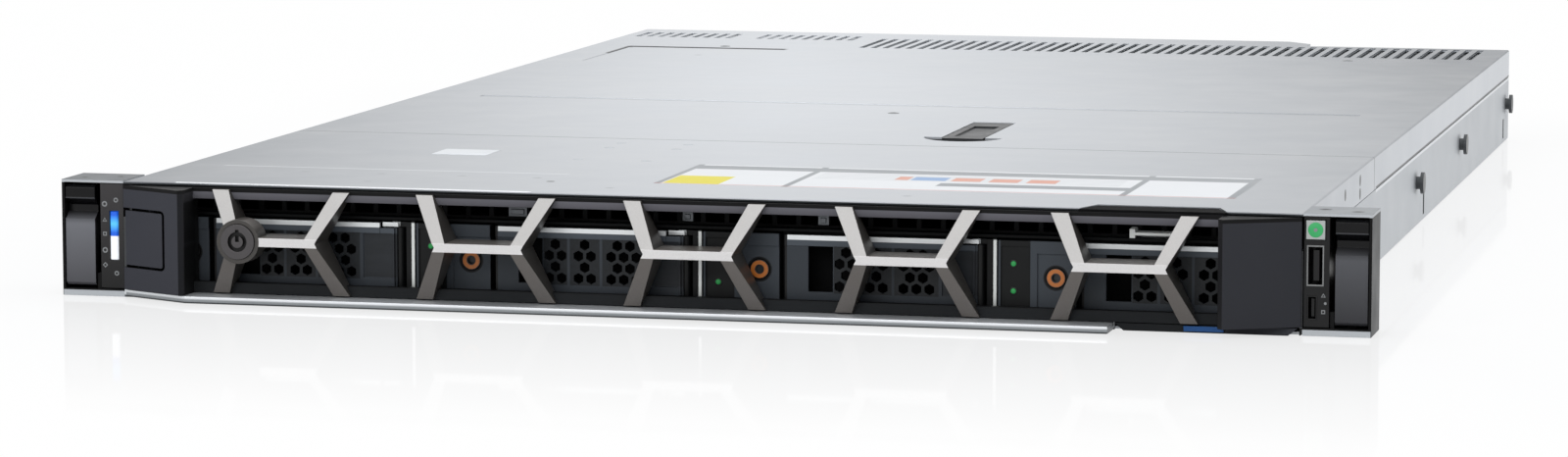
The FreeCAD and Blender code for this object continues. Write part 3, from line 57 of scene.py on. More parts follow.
# Places that several materials and pieces share
cover_top = high("top_cover").z
cover_front = low("drive_bay_cover").y
cover_split = high("drive_bay_cover").y
flange_low = low("top_cover").z
side = high("chassis_tray").x
body_rear = high("chassis_tray").y
ear_side = high("ear_right").x
ear_top = high("ear_right").z
panel_face = low("control_panel_left").y
pad_edge = 189.4
bay_count = 4
bay_pitch = round(low("drive_carrier_2").x - low("drive_carrier_1").x, 2)
bay_start = -bay_count * bay_pitch / 2
drive_face = low("drive_carrier_1").y
# The eject button's middle in its bay, the key lock's axis, and the service sheet's reach
eject = (21.8, 16.8)
lock = Vector((-168.0, 0, 23.3))
sheet_x = (-27, 187)
sheet_y = (18, 85)
power = (low("power_button") + high("power_button")) / 2
supply_left = low("psu_case_1").x
supply_pitch = round(low("psu_case_2").x - supply_left, 2)
supply_face = body_rear + 1.0
fan_offset = 40.4
fan_z = (low("psu_case_1").z + high("psu_case_1").z) / 2


# Camera, light and floor


def make_camera():
    """A long lens from the front right, with its tilt and its turn in degrees."""
    tilt_down, turn_left = 6.763, 13.771
    data = bpy.data.cameras.new("camera")
    data.sensor_width = 36.0
    data.lens = 117.83
    camera = bpy.data.objects.new("camera", data)
    camera.location = (0.46231, -1.77775, 0.24659)
    camera.rotation_euler = (math.radians(90 - tilt_down), 0, math.radians(turn_left))
    bpy.context.scene.collection.objects.link(camera)
    bpy.context.scene.camera = camera


def softbox(name, place, target, size, watts):
    """A rectangular lamp that faces its target."""
    data = bpy.data.lights.new(name, "AREA")
    data.shape = "RECTANGLE"
    data.size, data.size_y = size
    data.energy = watts
    lamp = bpy.data.objects.new(name, data)
    lamp.location = place
    aim = Vector(target) - Vector(place)
    lamp.rotation_euler = aim.to_track_quat("-Z", "Y").to_euler()
    bpy.context.scene.collection.objects.link(lamp)


def make_light():
    """Large lamps overhead, in front on the left, and, weaker, on the right."""
    softbox("overhead", (0.1, 0.5, 1.9), (0, 0.3, 0), (3.6, 2.8), 31)
    softbox("front", (-0.5, -1.9, 1.1), (0, 0, 0.02), (1.8, 1.0), 17)
    softbox("right", (2.2, -0.4, 1.1), (0.2, 0.3, 0.02), (1.4, 1.0), 6)


def make_world():
    """White where the camera, metal or glass sees it, and a soft grey dome as light."""
    world = bpy.data.worlds.new("world")
    world.use_nodes = True
    bpy.context.scene.world = world
    tree = world.node_tree
    tree.nodes.clear()
    rays = tree.nodes.new("ShaderNodeLightPath")
    seen = rays.outputs["Is Camera Ray"]
    for kind in ("Is Glossy Ray", "Is Transmission Ray"):
        either = tree.nodes.new("ShaderNodeMath")
        either.operation = "MAXIMUM"
        tree.links.new(seen, either.inputs[0])
        tree.links.new(rays.outputs[kind], either.inputs[1])
        seen = either.outputs[0]
    dome = tree.nodes.new("ShaderNodeBackground")
    dome.inputs["Color"].default_value = (0.88, 0.91, 0.96, 1)
    dome.inputs["Strength"].default_value = 0.42
    white = tree.nodes.new("ShaderNodeBackground")
    white.inputs["Color"].default_value = (1, 1, 1, 1)
    mix = tree.nodes.new("ShaderNodeMixShader")
    tree.links.new(seen, mix.inputs[0])
    tree.links.new(dome.outputs[0], mix.inputs[1])
    tree.links.new(white.outputs[0], mix.inputs[2])
    output = tree.nodes.new("ShaderNodeOutputWorld")
    tree.links.new(mix.outputs[0], output.inputs["Surface"])


# Material building


def colour(text):
    """A colour written as six hexadecimal digits, as a renderer wants it."""
    parts = [int(text[k:k + 2], 16) / 255 for k in (0, 2, 4)]
    return (*[p / 12.92 if p <= 0.04045 else ((p + 0.055) / 1.055) ** 2.4 for p in parts], 1)


class Surface:
    """A material whose colour, roughness and relief follow noise and places in the frame."""

    def __init__(self, name):
        self.material = bpy.data.materials.new(name)
        self.material.use_nodes = True
        self.tree = self.material.node_tree
        self.shader = self.tree.nodes["Principled BSDF"]
        where = self.tree.nodes.new("ShaderNodeTexCoord")
        self.place = where.outputs["Object"]
        self.normal = where.outputs["Normal"]
        self.made = {}

    def add(self, kind, inputs=None, **settings):
        """Adds a node; an input is set to a value or linked to another node's output."""
        made = self.tree.nodes.new(kind)
        for key, value in settings.items():
            setattr(made, key, value)
        for key, value in (inputs or {}).items():
            if isinstance(value, bpy.types.NodeSocket):
                self.tree.links.new(value, made.inputs[key])
            else:
                made.inputs[key].default_value = value
        return made

    def math(self, operation, first, second=0.0, third=0.0):
        inputs = {0: first, 1: second, 2: third}
        return self.add("ShaderNodeMath", inputs, operation=operation).outputs[0]

    def times(self, value, factor):
        return self.math("MULTIPLY", value, factor)

    def noise(self, size, detail=3.0, stretch=(1, 1, 1)):
        """Noise with blotches about size millimetres across; stretch lengthens them along an axis."""
        scale = tuple(1 / (size * MM * s) for s in stretch)
        spread = self.add("ShaderNodeMapping", {"Vector": self.place, "Scale": scale}).outputs[0]
        made = self.add("ShaderNodeTexNoise", {"Vector": spread, "Scale": 1.0, "Detail": detail})
        return made.outputs["Fac"]

    def axis(self, letter):
        """The place along an axis, in millimetres."""
        if letter not in self.made:
            parts = self.add("ShaderNodeSeparateXYZ", {"Vector": self.place})
            self.made[letter] = self.math("DIVIDE", parts.outputs[letter], MM)
        return self.made[letter]

    def facing(self, letter):
        """The surface normal's part along an axis."""
        return self.add("ShaderNodeSeparateXYZ", {"Vector": self.normal}).outputs[letter]

    def offset(self, start, pitch):
        """How far a place lies past the last multiple of the pitch, counted along X from start."""
        return self.math("MODULO", self.math("SUBTRACT", self.axis("X"), start), pitch)

    def ramp(self, value, start, end):
        """0 before start and 1 past end, in the value's own units."""
        inputs = {"Value": value, "From Min": start, "From Max": end}
        return self.add("ShaderNodeMapRange", inputs).outputs["Result"]

    def between(self, value, start, end, soft=0.08):
        """1 between start and end, with soft edges."""
        rise = self.ramp(value, start - soft, start + soft)
        return self.math("SUBTRACT", rise, self.ramp(value, end - soft, end + soft))

    def both(self, first, *others):
        """1 where every mask is 1."""
        for other in others:
            first = self.math("MULTIPLY", first, other)
        return first

    def either(self, first, *others):
        """1 where any mask is 1."""
        for other in others:
            first = self.math("MAXIMUM", first, other)
        return first

    def near(self, centre, radius, soft=0.15):
        """1 inside a ball round a place in millimetres."""
        middle = tuple(c * MM for c in centre)
        distance = self.add("ShaderNodeVectorMath", {0: self.place, 1: middle}, operation="DISTANCE")
        reach = self.math("DIVIDE", distance.outputs["Value"], MM)
        return self.ramp(reach, radius + soft, radius - soft)

    def patch(self, x0, x1, y0, y1, soft=0.3):
        """1 inside a rectangle seen from above."""
        across = self.between(self.axis("X"), x0, x1, soft)
        return self.both(across, self.between(self.axis("Y"), y0, y1, soft))

    def ring(self, across, up, centre, radius, soft=0.1):
        """1 inside a circle, where across and up are the places in the circle's plane."""
        dx = self.math("SUBTRACT", across, centre[0])
        dz = self.math("SUBTRACT", up, centre[1])
        square = self.math("MULTIPLY_ADD", dx, dx, self.math("MULTIPLY", dz, dz))
        return self.ramp(self.math("SQRT", square), radius + soft, radius - soft)

    def mix(self, share, first, second):
        """Blends two colours; each is a node's output, a colour's text or its numbers."""
        made = self.tree.nodes.new("ShaderNodeMix")
        made.data_type = "RGBA"
        for key, value in {"Factor": share, "A": first, "B": second}.items():
            socket = [s for s in made.inputs if s.name == key and s.enabled][0]
            if isinstance(value, bpy.types.NodeSocket):
                self.tree.links.new(value, socket)
            else:
                socket.default_value = colour(value) if isinstance(value, str) else value
        return [s for s in made.outputs if s.enabled][0]

    def set(self, **values):
        """Sets the shader's own sockets."""
        names = {
            "metallic": "Metallic", "specular": "Specular IOR Level",
            "emission": "Emission Color", "glow": "Emission Strength",
        }
        for key, value in values.items():
            if isinstance(value, bpy.types.NodeSocket):
                self.tree.links.new(value, self.shader.inputs[names[key]])
            else:
                self.shader.inputs[names[key]].default_value = value

    def mottled(self, text, amount, size):
        """A colour made a little lighter and darker in soft blotches."""
        base = colour(text)[:3]
        darker = (*[c * (1 - amount) for c in base], 1)
        lighter = (*[min(1, c * (1 + amount)) for c in base], 1)
        return self.mix(self.noise(size), darker, lighter)

    def paint(self, value):
        self.tree.links.new(value, self.shader.inputs["Base Color"])

    def roughen(self, middle, amount, size, mask=None, masked=0.0):
        """Roughness round a middle value in blotches; a mask takes it to another value."""
        rough = self.ramp(self.noise(size), 0.3, 0.7)
        value = self.math("MULTIPLY_ADD", rough, 2 * amount, middle - amount)
        if mask is not None:
            value = self.math("MULTIPLY_ADD", mask, masked - middle, value)
        self.tree.links.new(value, self.shader.inputs["Roughness"])

    def relief(self, height, depth, edge):
        """Fine relief of the given depth in millimetres over edges rounded by edge millimetres."""
        rounded = self.add("ShaderNodeBevel", {"Radius": edge * MM}, samples=4).outputs[0]
        inputs = {"Height": height, "Distance": depth * MM, "Normal": rounded}
        bump = self.add("ShaderNodeBump", inputs)
        self.tree.links.new(bump.outputs[0], self.shader.inputs["Normal"])


def sheet_metal(name, shade, roughness=0.38, metallic=0.75):
    """Rolled sheet with a fine grain along its length and soft clouding."""
    s = Surface(name)
    s.paint(s.mottled(shade, 0.04, 60))
    s.roughen(roughness, 0.05, 25)
    s.relief(s.noise(0.5, 2, (1, 12, 1)), 0.012, 0.25)
    s.set(metallic=metallic, specular=0.5)
    return s.material


def moulded(name, shade, roughness=0.5, grain=0.35, depth=0.02, edge=0.2, mottle=0.08):
    """Moulded plastic with a fine texture."""
    s = Surface(name)
    s.paint(s.mottled(shade, mottle, 18))
    s.roughen(roughness, 0.06, 9)
    s.relief(s.noise(grain, 3), depth, edge)
    s.set(specular=0.4)
    return s.material


def cover_sheet():
    """The covers: satin sheet with spot welds and a painted sheen band that turns to painted shade at
    the sides and the front; holes in the flanges, the line where the covers meet, pressed lines and the
    edges are painted dark as shade.
    """
    s = Surface("cover_sheet")
    x, y, z = s.axis("X"), s.axis("Y"), s.axis("Z")
    # A pale sheen band is painted along a slanting line across the top; the colour turns to painted
    # shade away from it and towards the front.
    ridge = s.math("MULTIPLY_ADD", y, -0.22, 15.0)
    right = s.math("SUBTRACT", x, ridge)
    away = s.math("MAXIMUM", right, s.times(right, -1.35))
    fade = s.math("POWER", s.ramp(away, 0, 310), 1.5)
    fade = s.times(fade, s.ramp(z, cover_top - 0.6, cover_top - 0.4))
    front_shade = s.times(s.ramp(y, 350, cover_front), 0.28)
    satin, shaded = s.mottled("c7cbd0", 0.03, 70), s.mottled("7b7f84", 0.03, 70)
    shade = s.mix(fade, s.mix(front_shade, satin, shaded), shaded)
    rows = ((25, (-195, -163, -133, -102, -73)), (-1, (-130, -38, 72)), (559, (-152,)))
    welds = [(along, depth, cover_top) for depth, row in rows for along in row]
    dents = s.either(*[s.near(p, 1.6, 0.7) for p in welds])
    shade = s.mix(s.times(dents, 0.7), shade, "85898e")
    # Holes in the flanges and a dot on top are painted as dark spots of shade.
    holes = [(sign * side, *place) for sign in (-1, 1) for place in ((130, 38), (88, 37), (130, 33))]
    shaded_holes = s.either(*[s.near(p, 2.2) for p in holes], s.near((-65, 15, cover_top), 1.6))
    shade = s.mix(shaded_holes, shade, "1d1e20")
    line = s.both(s.between(y, 39.2, 40.8, 0.4), s.between(x, -200, -65, 1))
    shade = s.mix(s.times(line, 0.5), shade, "e4e7ea")
    # Painted shade: dark lines where the two covers meet, along a pressed crease and in the crease at
    # the rear left corner.
    shaded_seam = s.between(y, cover_split - 0.4, cover_split + 1.0, 0.3)
    pressed = s.both(s.between(y, 333.6, 335.4, 0.5), s.between(x, -190, 190, 1))
    corner = s.both(s.between(y, 596.0, 602.4, 0.6), s.between(x, -198, -119, 1))
    corner = s.either(corner, s.both(s.between(x, -198.2, -196.2, 0.2), s.between(y, 560, 602, 0.5)))
    shade = s.mix(s.times(s.either(shaded_seam, pressed), 0.6), shade, "5d6164")
    shade = s.mix(s.times(corner, 0.95), shade, "33363a")
    # Painted shade on the cover's front face and along the lower edge of its flanges.
    edge = s.ramp(y, cover_front + 0.15, cover_front + 0.05)
    edge = s.both(edge, s.ramp(z, cover_top - 0.35, cover_top - 0.45))
    hem = s.ramp(z, flange_low + 0.9, flange_low + 0.7)
    hem = s.both(hem, s.ramp(y, cover_split + 4.4, cover_split + 6.4))
    shade = s.mix(s.either(edge, hem), shade, "303336")
    s.paint(shade)
    s.roughen(0.36, 0.04, 30)
    grain = s.noise(0.5, 2, (1, 12, 1))
    s.relief(s.math("SUBTRACT", grain, s.times(dents, 6.0)), 0.012, 0.25)
    s.set(metallic=0.75, specular=0.5)
    return s.material


def tray_sheet():
    """The tray: a bright front lip whose rolled edge is painted dark as shade, a painted highlight along
    its sides under the cover, painted shade round its side openings, and painted black as shade inside
    at the front.
    """
    s = Surface("tray_sheet")
    x, y, z = s.axis("X"), s.axis("Y"), s.axis("Z")
    shade = s.mottled("b9bdc1", 0.04, 60)
    lip = s.both(s.ramp(y, cover_front + 1.2, cover_front + 0.8), s.ramp(z, 2.8, 2.6))
    # The lip's rolled lower edge is painted dark as shade.
    rolled = s.ramp(z, 1.2, 0.5)
    lip_shade = s.mix(rolled, "dadde0", "4c5054")
    lip_shade = s.mix(s.ramp(x, side - 1.6, side - 1.4), lip_shade, "161718")
    shade = s.mix(lip, shade, lip_shade)
    outside = s.ramp(s.math("ABSOLUTE", x), side - 0.5, side - 0.45)
    # A painted highlight: a pale band along the sides just under the cover's flange.
    rim = s.ramp(z, flange_low - 1.6, flange_low - 1.3)
    rim = s.both(outside, rim, s.ramp(y, cover_split + 4.4, cover_split + 6.4))
    shade = s.mix(rim, shade, "dfe2e5")
    # Painted shade round the openings in the sides.
    shaded_pockets = s.either(*[s.between(y, middle - 2.4, middle + 2.4, 0.2) for middle in (335, 655)])
    shaded_pockets = s.both(outside, shaded_pockets, s.between(z, 2.4, 11.6))
    shade = s.mix(s.times(shaded_pockets, 0.85), shade, "2c2f31")
    # Painted shade: black inside the tray towards the front, and on its upper parts ahead of the front.
    above_floor = s.ramp(z, 2.6, 2.8)
    inside = s.both(above_floor, s.between(x, 1 - side, side - 1), s.ramp(y, 150, 40))
    shaded_walls = s.both(above_floor, s.ramp(y, -0.5, -1))
    shade = s.mix(s.times(s.either(inside, shaded_walls), 0.9), shade, "161718")
    s.paint(shade)
    s.roughen(0.42, 0.05, 25)
    s.relief(s.noise(0.5, 2, (1, 12, 1)), 0.012, 0.3)
    s.set(metallic=0.7, specular=0.5)
    return s.material


def sill_sheet():
    """The sill under the bezel: lit and shaded copies of one sheet, a painted highlight at its top,
    painted shade below and nearly black painted shade at its rolled edge.
    """
    s = Surface("sill_sheet")
    z = s.axis("Z")
    # A painted highlight on the top, painted shade lower down and black painted shade at the rolled
    # edge.
    bright, dull = s.mottled("e2e5e8", 0.03, 20), s.mottled("8c9093", 0.04, 20)
    shade = s.mix(s.ramp(z, 2.1, 1.5), bright, dull)
    s.paint(s.mix(s.ramp(z, 0.95, 0.55), shade, "303335"))
    s.roughen(0.36, 0.04, 15)
    s.relief(s.noise(0.5, 2, (12, 1, 1)), 0.01, 0.2)
    s.set(metallic=0.6, specular=0.5)
    return s.material


def ear_sheet():
    """The folded ears: bare on the flange; greyer on the roof, painted darker on the left ear as shade;
    painted dark outside and black inside as shade; each screw's slot painted dark as shade.
    """
    s = Surface("ear_sheet")
    across, y, z = s.math("ABSOLUTE", s.axis("X")), s.axis("Y"), s.axis("Z")
    # The roof is painted darker on the left ear than on the right, as shade.
    roof = s.mix(s.ramp(s.axis("X"), -100, 100), "595d61", "868a8e")
    foot = s.both(s.ramp(z, 2.2, 2.0), s.ramp(across, side + 23.9, side + 23.7))
    bare = s.either(s.ramp(z, ear_top - 1.15, ear_top - 1.05), s.ramp(y, -0.6, -0.4), foot)
    # Painted shade: the outer sides are dark, and the rest that is not bare metal is black as the shade
    # inside the ears.
    outside = s.both(s.ramp(across, ear_side - 0.1, ear_side - 0.02), s.ramp(z, 42, 41))
    shade = s.mix(bare, s.mottled("0c0c0d", 0.1, 12), s.mottled("b3b7bb", 0.04, 30))
    shade = s.mix(s.ramp(z, ear_top - 0.1, ear_top - 0.05), shade, roof)
    shade = s.mix(outside, shade, s.mottled("1e2123", 0.05, 30))
    places = ((223, -9), (235, -14))
    screws = [(sign * out, depth, ear_top) for sign in (-1, 1) for out, depth in places]
    heads = s.either(*[s.near(p, 2.3) for p in screws])
    # Each screw's slot is painted dark as the shade in it.
    shaded_slots = s.either(*[s.near(p, 1.1) for p in screws])
    shade = s.mix(heads, shade, "55585b")
    shade = s.mix(shaded_slots, shade, "18191a")
    s.paint(shade)
    s.set(metallic=s.times(s.either(bare, outside), 0.7), specular=0.12)
    s.roughen(0.42, 0.05, 14)
    s.relief(s.math("SUBTRACT", s.noise(0.5, 2), s.times(shaded_slots, 8.0)), 0.012, 0.25)
    return s.material


def honeycomb_paint():
    """Metallic paint with painted light and shade by the way its faces point: pale ridges and upper
    slopes as painted highlight, dark lower slopes and flanks as painted shade, and a dark grey lock
    collar with a painted highlight.
    """
    s = Surface("honeycomb_paint")
    # The colour follows each face's direction: faces turned up and forward get a painted highlight, the
    # rest painted shade.
    upward = s.ramp(s.facing("Z"), -0.25, -0.1)
    forward = s.times(s.facing("Y"), -1.0)
    bright = s.times(upward, s.ramp(forward, 0.45, 0.6))
    collar = s.ring(s.axis("X"), s.axis("Z"), (lock.x, lock.z), 8.05)
    flake = s.noise(0.3, 2)
    pale = s.mix(flake, "b2b0ae", "c9c7c5")
    lower = s.mix(flake, "5b5754", "6d6864")
    flank = s.mix(flake, "393735", "494643")
    dim = s.mix(flake, "3a3836", "4c4946")
    ridge = s.ramp(forward, 0.9, 0.97)
    pale = s.mix(ridge, pale, s.mix(flake, "d0cecd", "e4e2e1"))
    sideways = s.ramp(s.math("ABSOLUTE", s.facing("X")), 0.5, 0.7)
    slopes = s.mix(bright, s.mix(sideways, lower, flank), pale)
    # A painted highlight on the collar's upper right.
    lit = s.both(collar, s.ramp(s.facing("Z"), 0.45, 0.7), s.ramp(s.facing("X"), 0.1, 0.3))
    s.paint(s.mix(collar, slopes, s.mix(lit, dim, "8a8683")))
    s.roughen(0.38, 0.04, 8)
    s.relief(flake, 0.01, 0.3)
    s.set(metallic=0.3, specular=0.4)
    return s.material


def bezel_plastic():
    """The bezel's frame: charcoal pads painted darker on the right as shade, a pale upper rail with
    painted light at its top, a lower rail painted dark as shade, painted shade on lines and flanks, and
    a dark tab.
    """
    s = Surface("bezel_plastic")
    across, z = s.math("ABSOLUTE", s.axis("X")), s.axis("Z")
    # The pads are painted darker on the right than on the left, as shade.
    left, right = s.mottled("42434a", 0.07, 18), s.mottled("36373c", 0.07, 18)
    shade = s.mix(s.ramp(s.axis("X"), -100, 100), left, right)
    rails = s.ramp(across, pad_edge + 0.2, pad_edge - 0.2)
    # Painted light and shade on the rails: the upper one lighter towards its top, the lower one dark and
    # darker still at its top.
    upper = s.mix(s.ramp(z, 40.0, 36.0), "6b6a70", "4b4a4f")
    lower = s.mix(s.ramp(z, 6.2, 7.6), "1d1f21", "101111")
    upper_half = s.ramp(z, 20, 22)
    rail_shade = s.mix(upper_half, lower, upper)
    clouded = s.mix(s.noise(18), rail_shade, s.mix(0.08, rail_shade, "1b1b1d"))
    shade = s.mix(rails, shade, clouded)
    # Painted shade on faces turned up or sideways, on the frame below the upper rail, and under and
    # behind the cover's front edge.
    shaded_groove = s.both(rails, s.ramp(z, 37.0, 36.6), upper_half)
    flat = s.ramp(s.facing("Z"), 0.3, 0.5)
    flank = s.ramp(s.math("ABSOLUTE", s.facing("X")), 0.4, 0.6)
    shadow_under_cover = s.between(z, 39.9, 41.35, 0.05)
    behind = s.both(s.ramp(s.axis("Y"), cover_front - 0.6, cover_front - 0.3), s.ramp(z, 41, 40.9))
    turned_away = s.times(s.either(flat, flank), 0.85)
    dark = s.either(turned_away, shadow_under_cover, behind, shaded_groove)
    shade = s.mix(dark, shade, "0f0f10")
    tab = s.ramp(z, 41.3, 41.4)
    shade = s.mix(tab, shade, s.mottled("0c0c0d", 0.1, 10))
    s.paint(shade)
    s.roughen(0.55, 0.06, 9, tab, 0.95)
    s.relief(s.noise(0.35), 0.02, 0.35)
    s.set(specular=0.12)
    return s.material


def panel_plastic():
    """The control strips: glossy near-black; the left one is greyer towards its top."""
    s = Surface("panel_plastic")
    left = s.ramp(s.axis("X"), 0.1, -0.1)
    height = s.ramp(s.axis("Z"), 4, 40)
    strip = s.mix(height, "171717", "3c3a3b")
    shade = s.mix(left, "111112", strip)
    s.paint(s.mix(s.noise(6), shade, s.mix(0.9, "101010", shade)))
    s.roughen(0.34, 0.04, 9)
    s.relief(s.noise(0.4), 0.008, 0.25)
    s.set(specular=0.25)
    return s.material


def ear_grip():
    """The ear's grip: glossy black at its top; below, a satin grey with a painted reflection that
    darkens towards its foot, painted darker on the right grip and under the scoop as shade, with painted
    shade on its flanks and a painted highlight on a thin line above the scoop.
    """
    s = Surface("ear_grip")
    z = s.axis("Z")
    # Painted reflection and shade: the grey is lighter higher up, darker on the right grip than the
    # left, and darker just under the scoop.
    pale = s.mix(s.ramp(z, 4, 26), "525256", "74757a")
    deep = s.mix(s.ramp(z, 4, 26), "353538", "56575b")
    body = s.mix(s.ramp(s.axis("X"), -100, 100), pale, deep)
    body = s.mix(s.ramp(z, 26.5, 30.5), body, "29292b")
    top = s.ramp(z, 30.6, 30.9)
    shade = s.mix(top, body, s.mottled("08080a", 0.2, 10))
    # A painted highlight on a thin line above the scoop.
    ledge_highlight = s.between(z, 35.7, 36.2, 0.15)
    shade = s.mix(ledge_highlight, shade, "4c4d50")
    # Painted shade on faces turned sideways.
    inward_shade = s.ramp(s.math("ABSOLUTE", s.facing("X")), 0.6, 0.8)
    shade = s.mix(s.times(inward_shade, 0.95), shade, "0e0e0f")
    s.paint(shade)
    s.roughen(0.46, 0.05, 8, top, 0.22)
    s.relief(s.noise(0.3), 0.012, 0.35)
    s.set(specular=0.2)
    return s.material


def light_pipe():
    """The status light: blue above, white below, lit from inside; the blue is palest in its middle."""
    s = Surface("light_pipe")
    z = s.axis("Z")
    split = s.ramp(z, 22.0, 22.4)
    middle = s.both(s.ramp(z, 23.5, 26.5), s.ramp(z, 30, 27))
    blue = s.mix(middle, "0f55c8", "4fb4fb")
    glow = s.mix(split, "e9edf5", blue)
    cloud = s.mix(s.noise(1.5), "d5d9e0", "ffffff")
    s.paint(s.mix(split, cloud, blue))
    s.relief(s.noise(0.4), 0.01, 0.3)
    s.set(emission=glow, glow=0.5, specular=0.5)
    return s.material


def lit_lens(name, shade, glow):
    """A lens that glows in its own colour."""
    s = Surface(name)
    s.paint(s.mottled(shade, 0.15, 1.5))
    s.relief(s.noise(0.5), 0.01, 0.15)
    s.set(emission=colour(shade), glow=glow, specular=0.6)
    return s.material


def laminate(name, shade):
    """Circuit board: solder mask with faint traces in two directions."""
    s = Surface(name)
    wave = s.add("ShaderNodeTexBrick", {"Vector": s.place, "Scale": 160.0, "Mortar Size": 0.012})
    traces = (*[min(1, 1.7 * c) for c in colour(shade)[:3]], 1)
    s.paint(s.mix(wave.outputs["Fac"], s.mottled(shade, 0.1, 12), traces))
    s.roughen(0.4, 0.05, 4)
    s.relief(s.noise(0.6), 0.02, 0.15)
    s.set(specular=0.5)
    return s.material


def cage_sheet():
    """The drive cage: bare sheet, painted black towards the front as the shade inside the bays, and bare
    but painted brighter as highlight on its front edges and on the bezel's hook.
    """
    s = Surface("cage_sheet")
    y, z = s.axis("Y"), s.axis("Z")
    # Painted highlight on the bare front edges and the hook; painted shade, black, over the rest towards
    # the front.
    front = s.both(s.ramp(y, drive_face + 1.0, drive_face + 0.6), s.ramp(z, 30, 29.6))
    hook = s.both(s.between(s.axis("X"), 150, 176, 0.2), s.ramp(z, 31.5, 31.7))
    bare = s.either(front, s.both(hook, s.ramp(y, drive_face + 8, drive_face + 7.6)))
    rear = s.ramp(y, 20, 90)
    shade = s.mix(rear, s.mottled("0c0d0e", 0.1, 14), s.mottled("7b7e81", 0.06, 30))
    s.paint(s.mix(bare, shade, s.mottled("d6d9d7", 0.05, 8)))
    s.set(metallic=s.times(s.either(bare, rear), 0.6), specular=0.08)
    s.roughen(0.45, 0.05, 20)
    s.relief(s.noise(0.5, 2), 0.012, 0.25)
    return s.material


def carrier_plastic():
    """The drive carriers: blue-grey moulding, painted black as shade inside, in its wells and lamp
    recess and along its foot, with a bright arm end.
    """
    s = Surface("carrier_plastic")
    offset, y, z = s.offset(bay_start, bay_pitch), s.axis("Y"), s.axis("Z")
    # Painted shade: black inside, round the eject button and in the lamp recess, and dark along the
    # foot.
    deep = s.ramp(y, drive_face + 1.2, drive_face + 1.6)
    shade = s.mottled("42474d", 0.1, 9)
    well = s.ring(offset, z, eject, 4.5)
    lights = s.between(offset, 2.0, 12.7, 0.1)
    shade = s.mix(s.times(lights, 0.97), shade, "050606")
    foot = s.ramp(z, 5.0, 4.6)
    shade = s.mix(s.times(foot, 0.8), shade, "0e0f10")
    shade = s.mix(s.either(well, deep), shade, s.mottled("101112", 0.15, 6))
    arm = s.both(s.between(offset, 94.6, 101.6, 0.1), s.ramp(z, 27.9, 28.1))
    arm = s.both(arm, s.ramp(y, drive_face + 4, drive_face + 3.4))
    shade = s.mix(arm, shade, "cfd2d3")
    s.paint(shade)
    s.roughen(0.5, 0.06, 9)
    s.relief(s.noise(0.35), 0.02, 0.25)
    s.set(specular=0.2)
    return s.material


def lever_plastic():
    """The lever: dark moulding, a bright strip along its top, a darker blank tag at its end, and painted
    shade beside its hinge and behind its face.
    """
    s = Surface("lever_plastic")
    offset = s.offset(bay_start, bay_pitch)
    z = s.axis("Z")
    shade = s.mottled("353a40", 0.1, 9)
    # Painted shade in the gap beside the hinge.
    hinge = 32.1
    shade = s.mix(s.ramp(offset, hinge, hinge - 0.2), shade, "0d0d0e")
    inside = s.between(z, 8.9, 26.1)
    spans = ((49.1, 58.0), (59.0, 70.1), (71.1, 87.1))
    panels = s.either(*[s.both(inside, s.between(offset, *span)) for span in spans])
    web = s.mix(s.noise(1.2), "101214", "202428")
    shade = s.mix(panels, shade, web)
    tag = s.both(s.ramp(offset, 88.6, 88.8), s.between(z, 9.6, 25.4))
    tag_shade = s.mix(s.noise(3, 2, (6, 1, 1)), "1b1d20", "2c3035")
    shade = s.mix(tag, shade, tag_shade)
    past_hinge = s.ramp(offset, hinge, hinge + 0.2)
    strip = s.both(s.ramp(z, 27.7, 27.9), past_hinge)
    shade = s.mix(strip, shade, s.mottled("dde0e1", 0.05, 6))
    under = s.both(s.between(z, 25.7, 27.7, 0.1), past_hinge)
    shade = s.mix(s.times(under, 0.5), shade, "5d646c")
    # Painted shade behind the lever's face.
    behind = s.ramp(s.axis("Y"), drive_face + 0.9, drive_face + 1.4)
    shade = s.mix(behind, shade, "0e0f10")
    s.paint(shade)
    s.set(metallic=s.times(strip, 0.6), specular=0.25)
    s.roughen(0.42, 0.05, 5)
    s.relief(s.noise(0.35), 0.015, 0.2)
    return s.material


def drive_casting():
    """The drives: grey castings whose front ends are in black shadow paint."""
    s = Surface("drive_casting")
    front = s.ramp(s.axis("Y"), -4, -6)
    shade = s.mottled("9a9c9e", 0.08, 14)
    s.paint(s.mix(front, shade, "0b0b0c"))
    s.set(metallic=s.times(s.math("SUBTRACT", 1.0, front), 0.8), specular=0.08)
    s.roughen(0.45, 0.05, 8, front, 0.8)
    s.relief(s.noise(0.6), 0.03, 0.4)
    return s.material


def eject_ring():
    """The eject button: an orange ring round a hole; the hole, the ring's outer edge and the bore behind
    are painted dark as shade.
    """
    s = Surface("eject_ring")
    offset, z = s.offset(bay_start, bay_pitch), s.axis("Z")
    # Painted shade: the ring's hole, its outer edge and the bore behind it are dark.
    shaded_bore = s.ring(offset, z, eject, 1.75)
    rim = s.math("SUBTRACT", 1.0, s.ring(offset, z, eject, 3.15))
    dark = s.either(shaded_bore, rim, s.ramp(s.axis("Y"), drive_face + 0.5, drive_face + 0.7))
    s.paint(s.mix(dark, s.mottled("c9742e", 0.12, 3), "101215"))
    s.roughen(0.38, 0.05, 3)
    s.relief(s.noise(0.35), 0.01, 0.5)
    s.set(specular=0.5)
    return s.material


